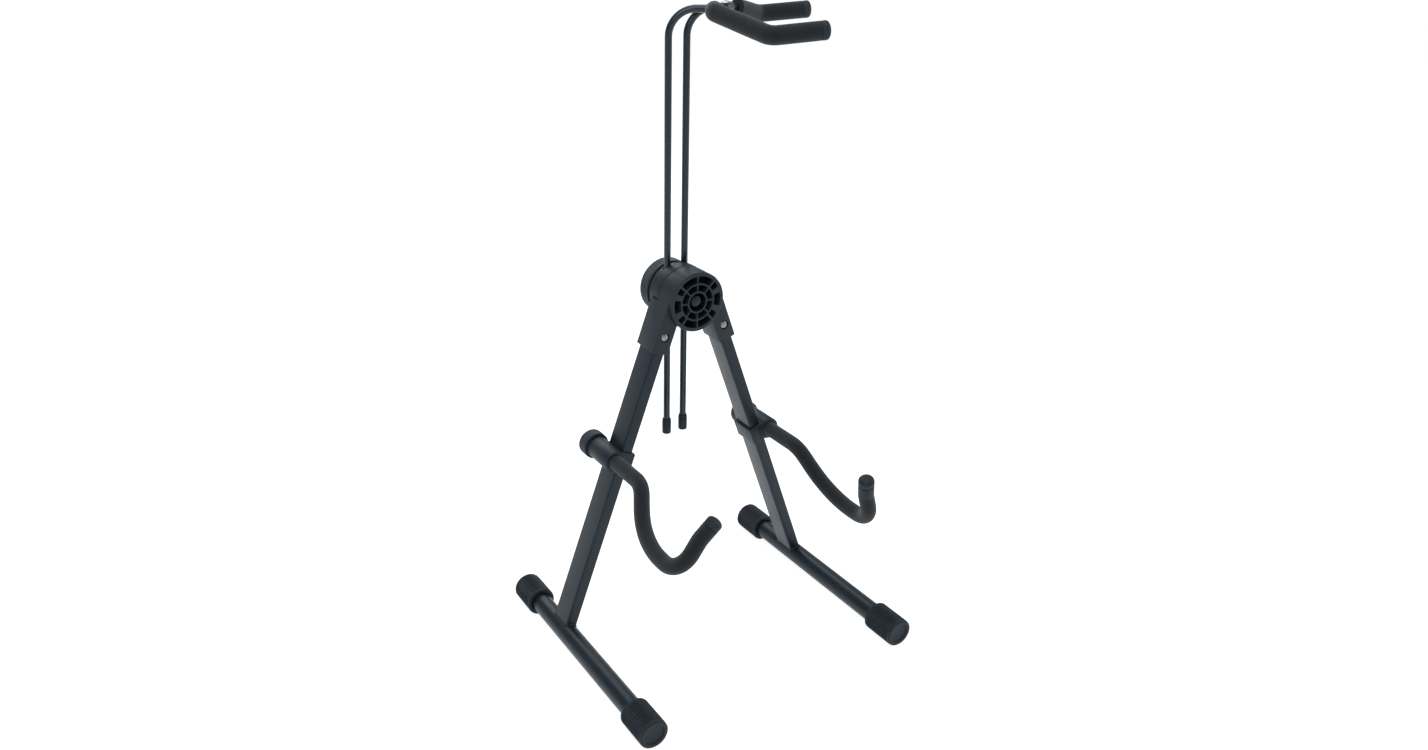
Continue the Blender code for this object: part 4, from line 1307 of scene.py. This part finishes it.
@dataclass
class Studio:
    """A pale floor, soft light and the camera."""

    lens: float = 27.99
    place: tuple[float, float, float] = (-0.6494, -0.9714, 0.8587)
    azimuth: float = math.radians(-31.36)
    elevation: float = math.radians(25.44)
    roll: float = math.radians(0.34)
    shift: tuple[float, float] = (0.0308, 0.0212)
    floor_colour: tuple[float, float, float] = (0.5, 0.5, 0.5)
    floor_glow: float = 0.8

    def make(self) -> None:
        """Set the stage."""
        self.make_floor()
        self.make_light("key_light", (-1.6, -1.3, 2.0), 1.6, 30)
        self.make_light("side_light", (1.9, -0.7, 1.3), 1.3, 16)
        self.make_light("back_light", (0.3, 1.9, 1.7), 1.6, 22)
        self.make_light("top_light", (0.0, 0.0, 2.6), 1.4, 20)
        world = bpy.data.worlds.new("studio_air")
        world.use_nodes = True
        air = world.node_tree.nodes["Background"]
        air.inputs["Color"].default_value = (0.86, 0.94, 1.0, 1)
        air.inputs["Strength"].default_value = 0.5
        bpy.context.scene.world = world
        bpy.context.scene.view_settings.view_transform = "Standard"
        self.make_camera()

    def make_floor(self) -> None:
        """A wide, flat pale floor."""
        build = bmesh.new()
        bmesh.ops.create_grid(build, x_segments=1, y_segments=1, size=30)
        mesh = bpy.data.meshes.new("floor")
        build.to_mesh(mesh)
        build.free()
        floor = bpy.data.objects.new("floor", mesh)
        bpy.context.scene.collection.objects.link(floor)
        graph = Graph("floor_paper")
        tooth = graph.grain(2 * MM, 2)
        shade = tuple(part * 0.985 for part in self.floor_colour)
        colour = graph.blend(tooth, self.floor_colour, shade)
        graph.feed(graph.shader, {"Base Color": colour})
        graph.shader.inputs["Roughness"].default_value = 0.9
        graph.shader.inputs["Emission Color"].default_value = (1, 1, 1, 1)
        graph.shader.inputs["Emission Strength"].default_value = self.floor_glow
        floor.data.materials.append(graph.material)

    def make_light(self, name: str, place: Sequence[float], size: float, power: float) -> None:
        """One square soft box that looks at the hub."""
        data = bpy.data.lights.new(name, "AREA")
        data.size = size
        data.energy = power
        light = bpy.data.objects.new(name, data)
        light.location = place
        aim = Vector((0, 0, 0.35)) - Vector(place)
        light.rotation_euler = aim.to_track_quat("-Z", "Y").to_euler()
        bpy.context.scene.collection.objects.link(light)

    def make_camera(self) -> None:
        """The camera, level with the top of the stand and to its left."""
        data = bpy.data.cameras.new("view")
        data.lens = self.lens
        data.shift_x, data.shift_y = self.shift
        camera = bpy.data.objects.new("view", data)
        turn = Matrix.Rotation(self.azimuth, 4, "Z")
        tilt = Matrix.Rotation(math.radians(90) - self.elevation, 4, "X")
        level = Matrix.Rotation(self.roll, 4, "Z")
        camera.matrix_world = Matrix.Translation(self.place) @ turn @ tilt @ level
        bpy.context.scene.collection.objects.link(camera)
        bpy.context.scene.camera = camera


def plain(bounds: Sequence[Sequence[float]]) -> list[list[float]]:
    """Bounds as plain lists of numbers."""
    return [[float(part) for part in corner] for corner in bounds]


def main() -> None:
    """Dress the whole stand."""
    logging.basicConfig(level=logging.INFO, format="%(name)s: %(message)s")
    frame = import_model()
    paints = Paints()
    slots = {part["node"]: Slot(part["material_slot"]) for part in frame["record"]["subparts"]}
    for node, piece in frame["nodes"].items():
        paints.coat(piece, slots[node])
    bodies = {
        node: body for body, nodes in frame["record"]["behaviour"]["bodies"].items() for node in nodes
    }
    bench = Bench(paints, bodies)
    layout = Layout({joint["name"]: joint for joint in frame["joints"]})
    Hub(layout).make(bench)
    for side in Side:
        HubBracket(side, layout).make(bench)
        Leg(side, layout).make(bench)
        Foot(side, layout).make(bench)
        NeckRod(side, layout).make(bench)
        Arm(side, layout).make(bench)
    Studio().make()


if __name__ == "__main__":
    main()
